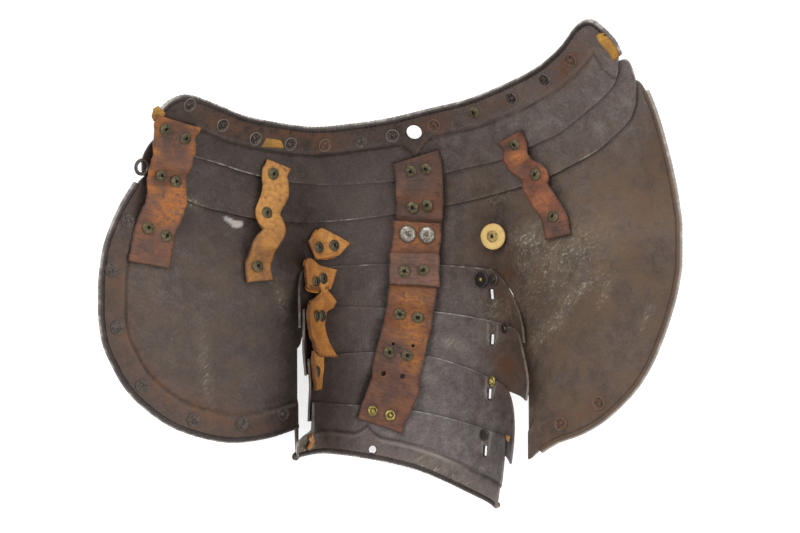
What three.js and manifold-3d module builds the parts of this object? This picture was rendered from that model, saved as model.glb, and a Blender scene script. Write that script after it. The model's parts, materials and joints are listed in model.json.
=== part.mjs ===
// A plate pauldron, the shoulder piece of an armour, lying on its outside with the hollow up.
// Millimetres. +X runs across both wings, +Y from the arm to the neck, +Z up out of the hollow.
// Every plate is a thin wall that follows one common form. The plates slide in each other like
// a telescope, and leather straps with rivets join them on the inside.
import * as THREE from "three";
import { mergeVertices } from "three/addons/utils/BufferGeometryUtils.js";
import Module from "manifold-3d";

const wasm = await Module();
wasm.setup();

// Driving sizes
const STEEL = 1.3; // wall of a plate
const LEATHER = 2.2; // wall of a strap
const GAP = 0.3; // air between two pieces that touch
const LAY = 0.5; // air between a plate and the leather on it, whose faces cut across its curve
const NEST = 2.25; // how far a lame lies inside the plate that it slides in
const ROLL_RADIUS = 2.2; // the edge turned over a wire
const STRAP_WIDE = 28.5;
const STRAP_NARROW = 15;
const SHANK_RADIUS = 1.5;
const RIVET_HOLE = SHANK_RADIUS + GAP;
const SEAT = { x: -0.58, y: 1.1, z: 0 }; // puts the origin under the middle of the part

// The common form: a trough for the arm that opens into two wings and rises to the neck.
const AXIS_X = { arm: 19, cap: 6 }; // x of the trough's lowest line, by the arm and in the cap
const AXIS_LEAN = 0.09; // how much that line leans by the arm, in x for each y
const AXIS_EASE = { from: -45, to: 20 }; // it bends from one to the other between these y
const ARM_RADIUS = 72.5;
const ARM_TAPER = 0.05; // the radius that the arm loses for each mm below ARM_TAPER_FROM
const ARM_TAPER_FROM = -40;
const ARM_FLAT = 0.9; // height of the arm's section against a circle
const REST_FLAT = 0.4; // depth of the flat on which the part lies
const WING_LEAVES = 0.85; // share of the radius where a wing leaves the arm's section
const WING_SLOPE = { left: 0.5, right: 0.55 };
const WING_EASE = 18; // length over which the wall eases into the wing
// The ends of the lames leave the round section: to the right, in to the left, and out at the
// lowest left corner. Each is a shift in x, which grows between two angles and between two y.
const END_SHIFTS = [
  { shift: 5, angleFrom: 45, angleTo: 85, yFrom: -40, yTo: -75, fade: 0.0085 },
  { shift: 3, angleFrom: -50, angleTo: -85, yFrom: -45, yTo: -75, fade: 0 },
  { shift: -10, angleFrom: -55, angleTo: -104, yFrom: -98, yTo: -107, fade: 0 },
];
const CAP_SLOPE = 0.8;
const CAP_ROUND = 50;
const CAP_Y = { from: 5, to: 75 }; // the arm's section turns into the cap's between these
const NECK_FROM = 20;
const NECK_RISE = 0.0035;

const clamp = (value) => Math.min(1, Math.max(0, value));
const smooth = (from, to, value) => {
  const t = clamp((value - from) / (to - from));
  return t * t * (3 - 2 * t);
};
const mix = (a, b, t) => a + (b - a) * t;
const radians = (degrees) => (degrees * Math.PI) / 180;
const axisAt = (y) =>
  mix(AXIS_X.arm + AXIS_LEAN * y, AXIS_X.cap, smooth(AXIS_EASE.from, AXIS_EASE.to, y));
const radiusAt = (y) => ARM_RADIUS - ARM_TAPER * Math.max(0, ARM_TAPER_FROM - y);

// Height of the arm's section and its wings, q mm beside the trough's line.
function armHeight(q, radius) {
  const leaves = WING_LEAVES * radius;
  const inside = Math.min(Math.abs(q), leaves);
  const depth = Math.sqrt(radius * radius - inside * inside);
  const height = ARM_FLAT * (radius - depth);
  const beyond = Math.abs(q) - inside;
  const wing = q < 0 ? WING_SLOPE.left : WING_SLOPE.right;
  const steeper = (ARM_FLAT * inside) / depth - wing;
  return height + wing * beyond + steeper * WING_EASE * (1 - Math.exp(-beyond / WING_EASE));
}

function formHeight(x, y) {
  const q = x - axisAt(y);
  const cap = CAP_SLOPE * (Math.hypot(q, CAP_ROUND) - CAP_ROUND);
  const rise = NECK_RISE * Math.max(0, y - NECK_FROM) ** 2;
  const height = mix(armHeight(q, radiusAt(y)), cap, smooth(CAP_Y.from, CAP_Y.to, y)) + rise;
  return Math.max(0, height - REST_FLAT);
}

// A skin turns plan places into points: `at` gives the point `lift` mm inside the common form,
// and `up` the direction that leads into the hollow.
const planSkin = {
  up(x, y) {
    const step = 0.5;
    const slopeX = (formHeight(x + step, y) - formHeight(x - step, y)) / (2 * step);
    const slopeY = (formHeight(x, y + step) - formHeight(x, y - step)) / (2 * step);
    return new THREE.Vector3(-slopeX, -slopeY, 1).normalize();
  },
  at(x, y, lift) {
    return new THREE.Vector3(x, y, formHeight(x, y)).addScaledVector(this.up(x, y), lift);
  },
};
function endShift(degrees, y) {
  let total = 0;
  for (const { shift, angleFrom, angleTo, yFrom, yTo, fade } of END_SHIFTS) {
    const share = smooth(angleFrom, angleTo, degrees) * smooth(yFrom, yTo, y);
    total += shift * share * (1 - fade * Math.max(0, yTo - y));
  }
  return total;
}
const armSkin = {
  up(degrees) {
    const angle = radians(degrees);
    return new THREE.Vector3(-ARM_FLAT * Math.sin(angle), 0, Math.cos(angle)).normalize();
  },
  at(degrees, y, lift) {
    const angle = radians(degrees);
    const radius = radiusAt(y);
    const x = axisAt(y) + radius * Math.sin(angle) + endShift(degrees, y);
    const z = Math.max(0, ARM_FLAT * radius * (1 - Math.cos(angle)) - REST_FLAT);
    return new THREE.Vector3(x, y, z).addScaledVector(this.up(degrees), lift);
  },
};

// The value of a column at row number `at`, rounded between rows by a Catmull-Rom curve.
function between(rows, key, at) {
  const i = Math.min(Math.max(0, Math.floor(at)), rows.length - 2);
  const t = at - i;
  const [a, b, c, d] = [-1, 0, 1, 2].map(
    (n) => rows[Math.min(rows.length - 1, Math.max(0, i + n))][key],
  );
  const bend = (2 * a - 5 * b + 4 * c - d) * t * t + (3 * b - a - 3 * c + d) * t * t * t;
  return 0.5 * (2 * b + (c - a) * t + bend);
}

// The row number where the column x reaches a plan x.
function rowAt(rows, x) {
  let [low, high] = [0, rows.length - 1];
  for (let i = 0; i < 30; i++) {
    const middle = (low + high) / 2;
    if (between(rows, "x", middle) < x) low = middle;
    else high = middle;
  }
  return (low + high) / 2;
}

// Sections of the plates that follow the plan, left to right. top and bottom are the edges.
// shelf is the lower edge between the wings, above the arm.
const MAIN_ROWS = [
  { x: -169.5, top: -9, shelf: -19, bottom: -29 },
  { x: -167.5, top: 8, shelf: -19, bottom: -44 },
  { x: -163, top: 23, shelf: -19, bottom: -56 },
  { x: -155, top: 40, shelf: -20, bottom: -71 },
  { x: -144, top: 54, shelf: -20, bottom: -83 },
  { x: -129, top: 50, shelf: -21, bottom: -94 },
  { x: -111, top: 43, shelf: -21, bottom: -101 },
  { x: -94, top: 41, shelf: -22, bottom: -104 },
  { x: -74, top: 38, shelf: -23, bottom: -102 },
  { x: -57, top: 37, shelf: -50, bottom: -97 },
  { x: -49, top: 38, shelf: -18 },
  { x: -34, top: 39, shelf: -16 },
  { x: -9, top: 43, shelf: -15 },
  { x: 15.5, top: 46, shelf: -14 },
  { x: 43.5, top: 51, shelf: -13 },
  { x: 60, top: 55, shelf: -13.5 },
  { x: 76, top: 59.5, shelf: -18 },
  { x: 84.5, top: 62, shelf: -79, bottom: -117 },
  { x: 91.5, top: 64, shelf: -29, bottom: -111 },
  { x: 100.5, top: 68, shelf: -27, bottom: -105 },
  { x: 115, top: 75, shelf: -25, bottom: -99 },
  { x: 127.5, top: 87, shelf: -21, bottom: -91 },
  { x: 137, top: 104, shelf: -15, bottom: -82 },
  { x: 146.5, top: 109, shelf: -9, bottom: -71 },
  { x: 155, top: 93, shelf: -3, bottom: -56 },
  { x: 162, top: 71, shelf: 2, bottom: -38 },
  { x: 167.5, top: 47, shelf: 7, bottom: -19 },
  { x: 170.5, top: 26, shelf: 11, bottom: -2 },
];
const LEFT_WING_END = 9; // the row of the left wing's inner edge
const RIGHT_WING_START = 17;
const SECOND_ROWS = [
  { x: -148, top: 62, bottom: 56 },
  { x: -146, top: 68, bottom: 52 },
  { x: -141, top: 75, bottom: 48 },
  { x: -133, top: 80, bottom: 45 },
  { x: -117, top: 77, bottom: 36 },
  { x: -99, top: 70, bottom: 31 },
  { x: -79, top: 64, bottom: 27 },
  { x: -55, top: 62, bottom: 26 },
  { x: -28, top: 63, bottom: 28 },
  { x: 3, top: 65, bottom: 32 },
  { x: 34, top: 70, bottom: 37 },
  { x: 68, top: 78, bottom: 44 },
  { x: 92, top: 88, bottom: 51 },
  { x: 112, top: 99, bottom: 61 },
  { x: 125, top: 111, bottom: 69 },
  { x: 133, top: 120, bottom: 76 },
  { x: 140, top: 122, bottom: 83 },
  { x: 144, top: 116, bottom: 88 },
  { x: 146.5, top: 107, bottom: 96 },
];
const NECK_ROWS = [
  { x: -141, top: 79, bottom: 73 },
  { x: -139.5, top: 87.5, bottom: 72 },
  { x: -136, top: 94, bottom: 71 },
  { x: -130, top: 99, bottom: 69 },
  { x: -121, top: 101, bottom: 66 },
  { x: -105, top: 95.5, bottom: 61 },
  { x: -91, top: 90, bottom: 56 },
  { x: -70, top: 86, bottom: 51 },
  { x: -48, top: 84, bottom: 50 },
  { x: -25, top: 86.5, bottom: 51 },
  { x: 0, top: 90.5, bottom: 53 },
  { x: 25, top: 96, bottom: 56 },
  { x: 49, top: 101, bottom: 61 },
  { x: 73, top: 110, bottom: 66 },
  { x: 91, top: 119, bottom: 75 },
  { x: 104, top: 130, bottom: 81 },
  { x: 113, top: 142, bottom: 88 },
  { x: 120, top: 145, bottom: 94 },
  { x: 127, top: 140, bottom: 100 },
  { x: 133.5, top: 133, bottom: 107 },
  { x: 137, top: 126, bottom: 115 },
];

// The lames round the arm, each inside the one before. y of each edge at six angles round the
// section, then the angles of the two ends, which lean, at the top edge and at the bottom edge.
const EDGE_ANGLES = [{ x: -120 }, { x: -90 }, { x: -50 }, { x: 0 }, { x: 45 }, { x: 85 }];
const ARM_LAMES = {
  arm_lame_1: {
    top: [-4, -3, -1, 1, -2, -9],
    bottom: [-38, -37.5, -35, -36, -40.5, -50],
    start: { top: -60, bottom: -88 },
    end: { top: 48, bottom: 72 },
  },
  arm_lame_2: {
    top: [-28, -26.5, -25, -27, -34, -44],
    bottom: [-66.5, -66, -64.5, -66, -73, -81],
    start: { top: -80, bottom: -90 },
    end: { top: 64, bottom: 88 },
  },
  arm_lame_3: {
    top: [-58, -56.5, -54, -54, -67, -83],
    bottom: [-93, -93.5, -95, -100, -106.5, -119],
    start: { top: -84, bottom: -91 },
    end: { top: 60, bottom: 87 },
  },
  arm_lame_4: {
    top: [-81, -82, -84, -88.5, -98, -106],
    bottom: [-117, -113.5, -112.5, -121, -136.5, -146],
    start: { top: -94, bottom: -104 },
    end: { top: 70, bottom: 82 },
  },
};
const CORNER_ROUND = 0.6; // power that rounds the upper corners of an arm lame

// How far each plate's outer face lies inside the common form
const LIFT = {
  main_plate: 0,
  second_lame: NEST,
  neck_lame: 2 * NEST,
  arm_lame_1: NEST,
  arm_lame_2: 2 * NEST,
  arm_lame_3: 3 * NEST,
  arm_lame_4: 4 * NEST,
};

// Straps: a row for each section of the leather, with the place of its middle, the plate that
// it lies on, how far it bulges off that plate, and its width where that changes.
const UNDER_LAP = LEATHER + GAP; // the bulge over another leather
const STRAPS = {
  strap_left_wide: {
    skin: planSkin,
    width: 24,
    rows: [
      { x: -129.5, y: 88, on: "neck_lame", bulge: 2.8 },
      { x: -131.5, y: 81, on: "neck_lame", bulge: 0.5 },
      { x: -132.5, y: 71, on: "neck_lame", bulge: 1.2 },
      { x: -134, y: 60, on: "second_lame", bulge: 4.5 },
      { x: -135, y: 51.5, on: "second_lame", bulge: 0.3 },
      { x: -135, y: 43, on: "main_plate", bulge: 5 },
      { x: -138, y: 32, on: "main_plate", bulge: 4.5 },
      { x: -140, y: 20, on: "main_plate", bulge: 0 },
      { x: -143, y: 8, on: "main_plate", bulge: 0.2 },
      { x: -145, y: 0, on: "main_plate", bulge: 0.6 },
    ],
  },
  strap_left_narrow: {
    skin: planSkin,
    width: STRAP_NARROW,
    rows: [
      { x: -71.5, y: 62, on: "neck_lame", bulge: 0.5 },
      { x: -74, y: 55, on: "neck_lame", bulge: 0 },
      { x: -74.5, y: 43, on: "second_lame", bulge: 3.5 },
      { x: -77, y: 30.5, on: "second_lame", bulge: 0.2 },
      { x: -75.5, y: 19.5, on: "main_plate", bulge: 6.5 },
      { x: -80.5, y: 11, on: "main_plate", bulge: 7 },
      { x: -81, y: 4, on: "main_plate", bulge: 2.5 },
      { x: -81, y: -1, on: "main_plate", bulge: 0 },
      { x: -80, y: -10, on: "main_plate", bulge: 0.5 },
    ],
  },
  strap_middle_upper: {
    skin: planSkin,
    width: STRAP_WIDE,
    inTrough: true,
    rows: [
      { x: 16.5, y: 69, on: "neck_lame", bulge: 0.5 },
      { x: 18.5, y: 60.5, on: "neck_lame", bulge: 0 },
      { x: 19.5, y: 46, on: "second_lame", bulge: 3.5 },
      { x: 19, y: 36, on: "second_lame", bulge: 0.2 },
      { x: 18.5, y: 30.5, on: "main_plate", bulge: 2.4 },
      { x: 18, y: 25.5, on: "main_plate", bulge: 0.4 },
      { x: 17.5, y: 17, on: "main_plate", bulge: 0.2 },
      { x: 17, y: 9, on: "main_plate", bulge: 0.2 },
    ],
  },
  strap_middle_lower: {
    skin: planSkin,
    width: STRAP_WIDE,
    inTrough: true,
    rows: [
      { x: 17.7, y: 27, on: "main_plate", bulge: UNDER_LAP + 1.7 },
      { x: 17.5, y: 22, on: "main_plate", bulge: UNDER_LAP + 0.4 },
      { x: 17.3, y: 17, on: "main_plate", bulge: UNDER_LAP },
      { x: 16.5, y: 11, on: "main_plate", bulge: UNDER_LAP },
      { x: 15.5, y: 4, on: "main_plate", bulge: 2.4 },
      { x: 15, y: -3, on: "arm_lame_1", bulge: 0.2 },
      { x: 14.5, y: -12, on: "arm_lame_1", bulge: 2 },
      { x: 13, y: -21, on: "arm_lame_2", bulge: 3.5 },
      { x: 11, y: -31, on: "arm_lame_2", bulge: 0 },
      { x: 8.5, y: -41, on: "arm_lame_3", bulge: 2.6 },
      { x: 6, y: -49, on: "arm_lame_3", bulge: 1.8 },
      { x: 4.3, y: -55, on: "arm_lame_3", bulge: 0.2 },
      { x: 2, y: -64, on: "arm_lame_3", bulge: 0.6 },
      { x: 0, y: -74, on: "arm_lame_4", bulge: 2.2 },
      { x: -3.3, y: -82, on: "arm_lame_4", bulge: 2 },
      { x: -6.7, y: -90, on: "arm_lame_4", bulge: 0 },
      { x: -9.2, y: -98, on: "arm_lame_4", bulge: 0.4 },
    ],
  },
  strap_middle_tab: {
    skin: planSkin,
    width: 30,
    inTrough: true,
    rows: [
      { x: 15.8, y: 8, on: "main_plate", bulge: 2 * UNDER_LAP + 0.5 },
      { x: 15.8, y: 2, on: "main_plate", bulge: 2 * UNDER_LAP },
      { x: 15.5, y: -3, on: "main_plate", bulge: 2 * UNDER_LAP - 0.3 },
      { x: 15.3, y: -12, on: "arm_lame_1", bulge: UNDER_LAP + 2.7 },
    ],
  },
  strap_right_narrow: {
    skin: planSkin,
    width: STRAP_NARROW,
    rows: [
      { x: 76, y: 80.5, on: "neck_lame", bulge: 0.5 },
      { x: 79.5, y: 73.5, on: "neck_lame", bulge: 0 },
      { x: 81.5, y: 66, on: "neck_lame", bulge: 2 },
      { x: 85, y: 60, on: "second_lame", bulge: 3 },
      { x: 91, y: 54, on: "second_lame", bulge: 0.2 },
      { x: 92, y: 46, on: "main_plate", bulge: 4.5 },
      { x: 96.5, y: 38, on: "main_plate", bulge: 4 },
      { x: 100, y: 29, on: "main_plate", bulge: 0 },
      { x: 103, y: 16.5, on: "main_plate", bulge: 1 },
    ],
  },
  torn_strap_top: {
    skin: planSkin,
    rows: [
      { x: -27, y: 14, on: "main_plate", bulge: 2, width: 4 },
      { x: -33, y: 12, on: "main_plate", bulge: 0.2, width: 12 },
      { x: -40, y: 11.5, on: "main_plate", bulge: 0, width: 16 },
      { x: -46, y: 12, on: "main_plate", bulge: 0, width: 18 },
      { x: -52, y: 12, on: "main_plate", bulge: 1.2, width: 7 },
    ],
  },
  torn_strap_middle: {
    skin: armSkin,
    rows: [
      { x: -56, y: 2, on: "arm_lame_1", bulge: 2.4, width: 9 },
      { x: -56, y: -4, on: "arm_lame_1", bulge: 1.2, width: 22 },
      { x: -56, y: -10, on: "arm_lame_1", bulge: 0.8, width: 24 },
      { x: -53, y: -16, on: "arm_lame_1", bulge: 4, width: 10 },
      { x: -56, y: -21, on: "arm_lame_1", bulge: 6, width: 20 },
      { x: -61, y: -26, on: "arm_lame_2", bulge: 1.8, width: 21 },
      { x: -64, y: -31, on: "arm_lame_2", bulge: 0, width: 18 },
      { x: -63, y: -40, on: "arm_lame_2", bulge: 1, width: 17 },
      { x: -58, y: -48, on: "arm_lame_3", bulge: 1.5, width: 16 },
      { x: -51, y: -55, on: "arm_lame_3", bulge: 3, width: 16 },
    ],
  },
  torn_strap_bottom: {
    skin: armSkin,
    width: 14,
    rows: [
      { x: -75, y: -55, on: "arm_lame_3", bulge: 1.5 },
      { x: -75, y: -62, on: "arm_lame_3", bulge: 0 },
      { x: -75, y: -69, on: "arm_lame_3", bulge: 0 },
      { x: -75, y: -76, on: "arm_lame_3", bulge: 0.8 },
    ],
  },
};

// Rivets: the place, the outermost plate, the strap that the inner end holds. A head stands
// out where no other plate slides over it, and the others end flush.
const RIVETS = {
  rivet_left_wide_1: { x: -137.5, y: 83.5, plate: "neck_lame", strap: "strap_left_wide" },
  rivet_left_wide_2: { x: -126, y: 78, plate: "neck_lame", strap: "strap_left_wide" },
  rivet_left_wide_3: { x: -140, y: 54, plate: "second_lame", strap: "strap_left_wide" },
  rivet_left_wide_4: { x: -131, y: 50, plate: "second_lame", strap: "strap_left_wide" },
  rivet_left_wide_5: { x: -145, y: 22, plate: "main_plate", strap: "strap_left_wide", head: true },
  rivet_left_wide_6: { x: -134, y: 17, plate: "main_plate", strap: "strap_left_wide", head: true },
  rivet_left_narrow_1: { x: -75.5, y: 55, plate: "neck_lame", strap: "strap_left_narrow" },
  rivet_left_narrow_2: { x: -78, y: 30.5, plate: "second_lame", strap: "strap_left_narrow" },
  rivet_left_narrow_3: { x: -82, y: -1, plate: "main_plate", strap: "strap_left_narrow", head: true },
  rivet_middle_1: { x: 13.5, y: 60, plate: "neck_lame", strap: "strap_middle_upper" },
  rivet_middle_2: { x: 24, y: 61.5, plate: "neck_lame", strap: "strap_middle_upper" },
  rivet_middle_3: { x: 14.5, y: 36.5, plate: "second_lame", strap: "strap_middle_upper" },
  rivet_middle_4: { x: 24.5, y: 38, plate: "second_lame", strap: "strap_middle_upper" },
  rivet_middle_5: { x: 8.6, y: -3.5, plate: "main_plate", strap: "strap_middle_tab" },
  rivet_middle_6: { x: 21.5, y: -2.5, plate: "main_plate", strap: "strap_middle_tab" },
  rivet_middle_7: { x: 4.5, y: -30, plate: "arm_lame_2", strap: "strap_middle_lower" },
  rivet_middle_8: { x: 17, y: -32, plate: "arm_lame_2", strap: "strap_middle_lower" },
  rivet_middle_9: { x: -3, y: -53, plate: "arm_lame_3", strap: "strap_middle_lower" },
  rivet_middle_10: { x: 10.5, y: -55, plate: "arm_lame_3", strap: "strap_middle_lower" },
  rivet_right_1: { x: 79.5, y: 75.5, plate: "neck_lame", strap: "strap_right_narrow" },
  rivet_right_2: { x: 91.5, y: 54.5, plate: "second_lame", strap: "strap_right_narrow" },
  rivet_right_3: { x: 100, y: 28.5, plate: "main_plate", strap: "strap_right_narrow", head: true },
  rivet_torn_1: { x: -46.5, y: 10.5, plate: "main_plate", strap: "torn_strap_top", head: true },
  rivet_torn_2: { x: -36.8, y: 12, plate: "main_plate", strap: "torn_strap_top", head: true },
};
// The same with x as an angle, on the lames round the arm
const ARM_RIVETS = {
  rivet_torn_3: { x: -60, y: -10, plate: "arm_lame_1", strap: "torn_strap_middle" },
  rivet_torn_4: { x: -52, y: -8, plate: "arm_lame_1", strap: "torn_strap_middle" },
  rivet_torn_5: { x: -69, y: -30.5, plate: "arm_lame_2", strap: "torn_strap_middle" },
  rivet_torn_6: { x: -62, y: -30.5, plate: "arm_lame_2", strap: "torn_strap_middle" },
  rivet_torn_7: { x: -76, y: -64, plate: "arm_lame_3", strap: "torn_strap_bottom" },
};
// Rivets that hold two plates at the right of the arm, and the slots in which they slide
const SLIDING_RIVETS = {
  sliding_rivet_1: { x: 41, y: -8.5, plate: "main_plate", strap: "arm_lame_1" },
  sliding_rivet_2: { x: 49, y: -8.5, plate: "main_plate", strap: "arm_lame_1" },
  sliding_rivet_3: { x: 55, y: -38, plate: "arm_lame_1", strap: "arm_lame_2" },
  sliding_rivet_4: { x: 51, y: -70.5, plate: "arm_lame_2", strap: "arm_lame_3" },
  sliding_rivet_5: { x: 52.5, y: -103, plate: "arm_lame_3", strap: "arm_lame_4" },
};
const SLOT = { wide: 3, long: 6 };
const SLOTS = [
  { x: 45, y: -17.5, lame: "arm_lame_1" },
  { x: 45, y: -45, lame: "arm_lame_2" },
  { x: 50, y: -78, lame: "arm_lame_3" },
  { x: 55, y: -112.5, lame: "arm_lame_4" },
];
const BIG_RIVETS = {
  big_rivet_left: { x: 10.7, y: 19.5, plate: "main_plate", strap: "strap_middle_lower" },
  big_rivet_right: { x: 24, y: 19, plate: "main_plate", strap: "strap_middle_lower" },
};
const DOMED_RIVETS = {
  domed_rivet_left: { x: -15.2, y: -88.5, plate: "arm_lame_4", strap: "strap_middle_lower" },
  domed_rivet_right: { x: -2.2, y: -91.5, plate: "arm_lame_4", strap: "strap_middle_lower" },
};
const WASHER = { x: 64.5, y: 17.5, radius: 7.6, thick: 2.4, wall: "main_plate" };
const WASHER_RIVET = { x: 64.5, y: 17.5, plate: "main_plate", strap: "leather_washer", head: true };
const NECK_HOLE = { x: 15.5, y: 84, radius: 4.7 };
const HEM_HOLE = { x: -14, y: -112.5, radius: 2.5 };

// Solids

// A closed wall over a grid of cells. place(a, b, inside) gives the point at shares a and b,
// on the outer face or that many mm inside it. keep says which cells are there.
function wall(along, across, thick, place, keep = () => true) {
  const points = [];
  const numbers = new Map();
  const corner = (i, j, layer) => {
    const key = `${i},${j},${layer}`;
    if (!numbers.has(key)) {
      numbers.set(key, points.length / 3);
      points.push(...place(i / along, j / across, layer * thick).toArray());
    }
    return numbers.get(key);
  };
  const faces = [];
  const quad = (a, b, c, d) => faces.push(a, b, c, a, c, d);
  const kept = (i, j) => i >= 0 && j >= 0 && i < along && j < across && keep(i, j);
  for (let i = 0; i < along; i++) {
    for (let j = 0; j < across; j++) {
      if (!kept(i, j)) continue;
      const ring = [
        [i, j],
        [i + 1, j],
        [i + 1, j + 1],
        [i, j + 1],
      ];
      const outer = ring.map(([u, v]) => corner(u, v, 0));
      const inner = ring.map(([u, v]) => corner(u, v, 1));
      quad(...inner);
      quad(...outer.toReversed());
      const sides = [kept(i, j - 1), kept(i + 1, j), kept(i, j + 1), kept(i - 1, j)];
      sides.forEach((neighbour, n) => {
        const m = (n + 1) % 4;
        if (!neighbour) quad(outer[n], outer[m], inner[m], inner[n]);
      });
    }
  }
  const geometry = new THREE.BufferGeometry();
  geometry.setAttribute("position", new THREE.Float32BufferAttribute(points, 3));
  geometry.setIndex(faces);
  return geometry;
}

function solidOf(geometry) {
  const bare = geometry.index ? geometry.toNonIndexed() : geometry.clone();
  bare.deleteAttribute("normal");
  bare.deleteAttribute("uv");
  const merged = mergeVertices(bare, 1e-3);
  return new wasm.Manifold(
    new wasm.Mesh({
      numProp: 3,
      vertProperties: new Float32Array(merged.attributes.position.array),
      triVerts: new Uint32Array(merged.index.array),
    }),
  );
}

function geometryOf(solid) {
  const { vertProperties, triVerts } = solid.getMesh();
  const geometry = new THREE.BufferGeometry();
  geometry.setAttribute("position", new THREE.Float32BufferAttribute(vertProperties, 3));
  geometry.setIndex([...triVerts]);
  return geometry;
}

// A round bar along a path of points, for the edge that is turned over a wire.
function roll(points) {
  const sides = 6;
  const section = new THREE.Shape();
  for (let i = 0; i < sides; i++) {
    const angle = (2 * Math.PI * i) / sides;
    const [x, y] = [ROLL_RADIUS * Math.cos(angle), ROLL_RADIUS * Math.sin(angle)];
    if (i) section.lineTo(x, y);
    else section.moveTo(x, y);
  }
  const extrudePath = new THREE.CatmullRomCurve3(points);
  return new THREE.ExtrudeGeometry(section, { extrudePath, steps: points.length });
}

// A turned piece whose profile is radius and height, set on a skin with its height along `up`.
function turned(profile, sides, base, up) {
  const geometry = new THREE.LatheGeometry(
    profile.map(([radius, height]) => new THREE.Vector2(radius, height)),
    sides,
  );
  geometry.applyQuaternion(new THREE.Quaternion().setFromUnitVectors(THREE.Object3D.DEFAULT_UP, up));
  geometry.translate(base.x, base.y, base.z);
  return geometry;
}

// The bar that cuts a round hole through every wall at a place on a skin.
const DRILL_DEPTH = { from: -4, to: 16 };
function drill(skin, { x, y }, radius, sides, { from, to } = DRILL_DEPTH) {
  const profile = [
    [0, from],
    [radius, from],
    [radius, to],
    [0, to],
  ];
  return solidOf(turned(profile, sides, skin.at(x, y, 0), skin.up(x, y)));
}

// The bar that cuts a slot, which runs along y.
function slotBar({ x, y }) {
  const geometry = new THREE.BoxGeometry(SLOT.wide, SLOT.long, DRILL_DEPTH.to);
  const up = armSkin.up(x);
  const upright = new THREE.Vector3(0, 0, 1);
  geometry.applyQuaternion(new THREE.Quaternion().setFromUnitVectors(upright, up));
  geometry.translate(...armSkin.at(x, y, DRILL_DEPTH.to / 4).toArray());
  return solidOf(geometry);
}

// Plates

const planPlate = (rows, lift) => ({
  rows,
  place: (a, b, inside) => {
    const at = a * (rows.length - 1);
    const y = mix(between(rows, "bottom", at), between(rows, "top", at), b);
    return planSkin.at(between(rows, "x", at), y, lift + inside);
  },
});
const neckPlate = planPlate(NECK_ROWS, LIFT.neck_lame);
const secondPlate = planPlate(SECOND_ROWS, LIFT.second_lame);

const MAIN_CELLS = { below: 3, above: 6 }; // cells below and above the shelf
const SHELF_SHARE = MAIN_CELLS.below / (MAIN_CELLS.below + MAIN_CELLS.above);
const mainPlate = {
  rows: MAIN_ROWS,
  place: (a, b, inside) => {
    const at = a * (MAIN_ROWS.length - 1);
    const shelf = between(MAIN_ROWS, "shelf", at);
    const lower = mix(wingBottom(at), shelf, b / SHELF_SHARE);
    const above = (b - SHELF_SHARE) / (1 - SHELF_SHARE);
    const upper = mix(shelf, between(MAIN_ROWS, "top", at), above);
    return planSkin.at(between(MAIN_ROWS, "x", at), above < 0 ? lower : upper, inside);
  },
};

// The bottom edge exists on the wings only, so each wing's rows are read on their own.
function wingBottom(at) {
  const left = MAIN_ROWS.slice(0, LEFT_WING_END + 1);
  const right = MAIN_ROWS.slice(RIGHT_WING_START);
  if (at <= LEFT_WING_END) return between(left, "bottom", at);
  return between(right, "bottom", Math.max(0, at - RIGHT_WING_START));
}

const isWing = (row) => row < LEFT_WING_END || row >= RIGHT_WING_START;
const mainWall = wall(
  2 * (MAIN_ROWS.length - 1),
  MAIN_CELLS.below + MAIN_CELLS.above,
  STEEL,
  mainPlate.place,
  (i, j) => j >= MAIN_CELLS.below || isWing(i / 2),
);

const armPlate = ({ top, bottom, start, end }, lift) => {
  const edgeY = (ys, degrees) => {
    const rows = EDGE_ANGLES.map(({ x }, i) => ({ x, y: ys[i] }));
    return between(rows, "y", rowAt(rows, degrees));
  };
  return {
    rows: EDGE_ANGLES,
    place: (a, b, inside) => {
      const down = (1 - b) ** CORNER_ROUND;
      const degrees = mix(mix(start.top, start.bottom, down), mix(end.top, end.bottom, down), a);
      const y = mix(edgeY(bottom, degrees), edgeY(top, degrees), b);
      return armSkin.at(degrees, y, lift + inside);
    },
  };
};

// Points along an edge of a plate, from row number to row number.
function edge(plate, from, to, b, step = 0.5) {
  const count = Math.round(Math.abs(to - from) / step);
  const last = plate.rows.length - 1;
  return Array.from({ length: count + 1 }, (_, i) =>
    plate.place(mix(from, to, i / count) / last, b, STEEL / 2),
  );
}

const lastMain = MAIN_ROWS.length - 1;
const ROLL_ROWS = { left: 3.5, right: 3.5 }; // how many rows of a wing's top edge are rolled
const HEM_END = 0.1; // the part of a row at each end of the hem that has no roll
const leftRoll = [
  ...edge(mainPlate, LEFT_WING_END, 0, 0),
  mainPlate.place(0, SHELF_SHARE, STEEL / 2),
  ...edge(mainPlate, 0, ROLL_ROWS.left, 1),
];
const rightRoll = [
  ...edge(mainPlate, RIGHT_WING_START + 1, lastMain, 0),
  mainPlate.place(1, SHELF_SHARE, STEEL / 2),
  ...edge(mainPlate, lastMain, lastMain - ROLL_ROWS.right, 1),
];
const neckRoll = edge(neckPlate, 1, NECK_ROWS.length - 1, 1);
const ARM_CELLS = { along: 18, across: 4 };
const COLLAR_CELLS = { second: 33, neck: 34, across: 4 };
const armWall = (name) => {
  const { place } = armPlate(ARM_LAMES[name], LIFT[name]);
  return wall(ARM_CELLS.along, ARM_CELLS.across, STEEL, place);
};
const hemPlate = armPlate(ARM_LAMES.arm_lame_4, LIFT.arm_lame_4);
const hemRoll = edge(hemPlate, HEM_END, EDGE_ANGLES.length - 1 - HEM_END, 0, 0.3);

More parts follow.
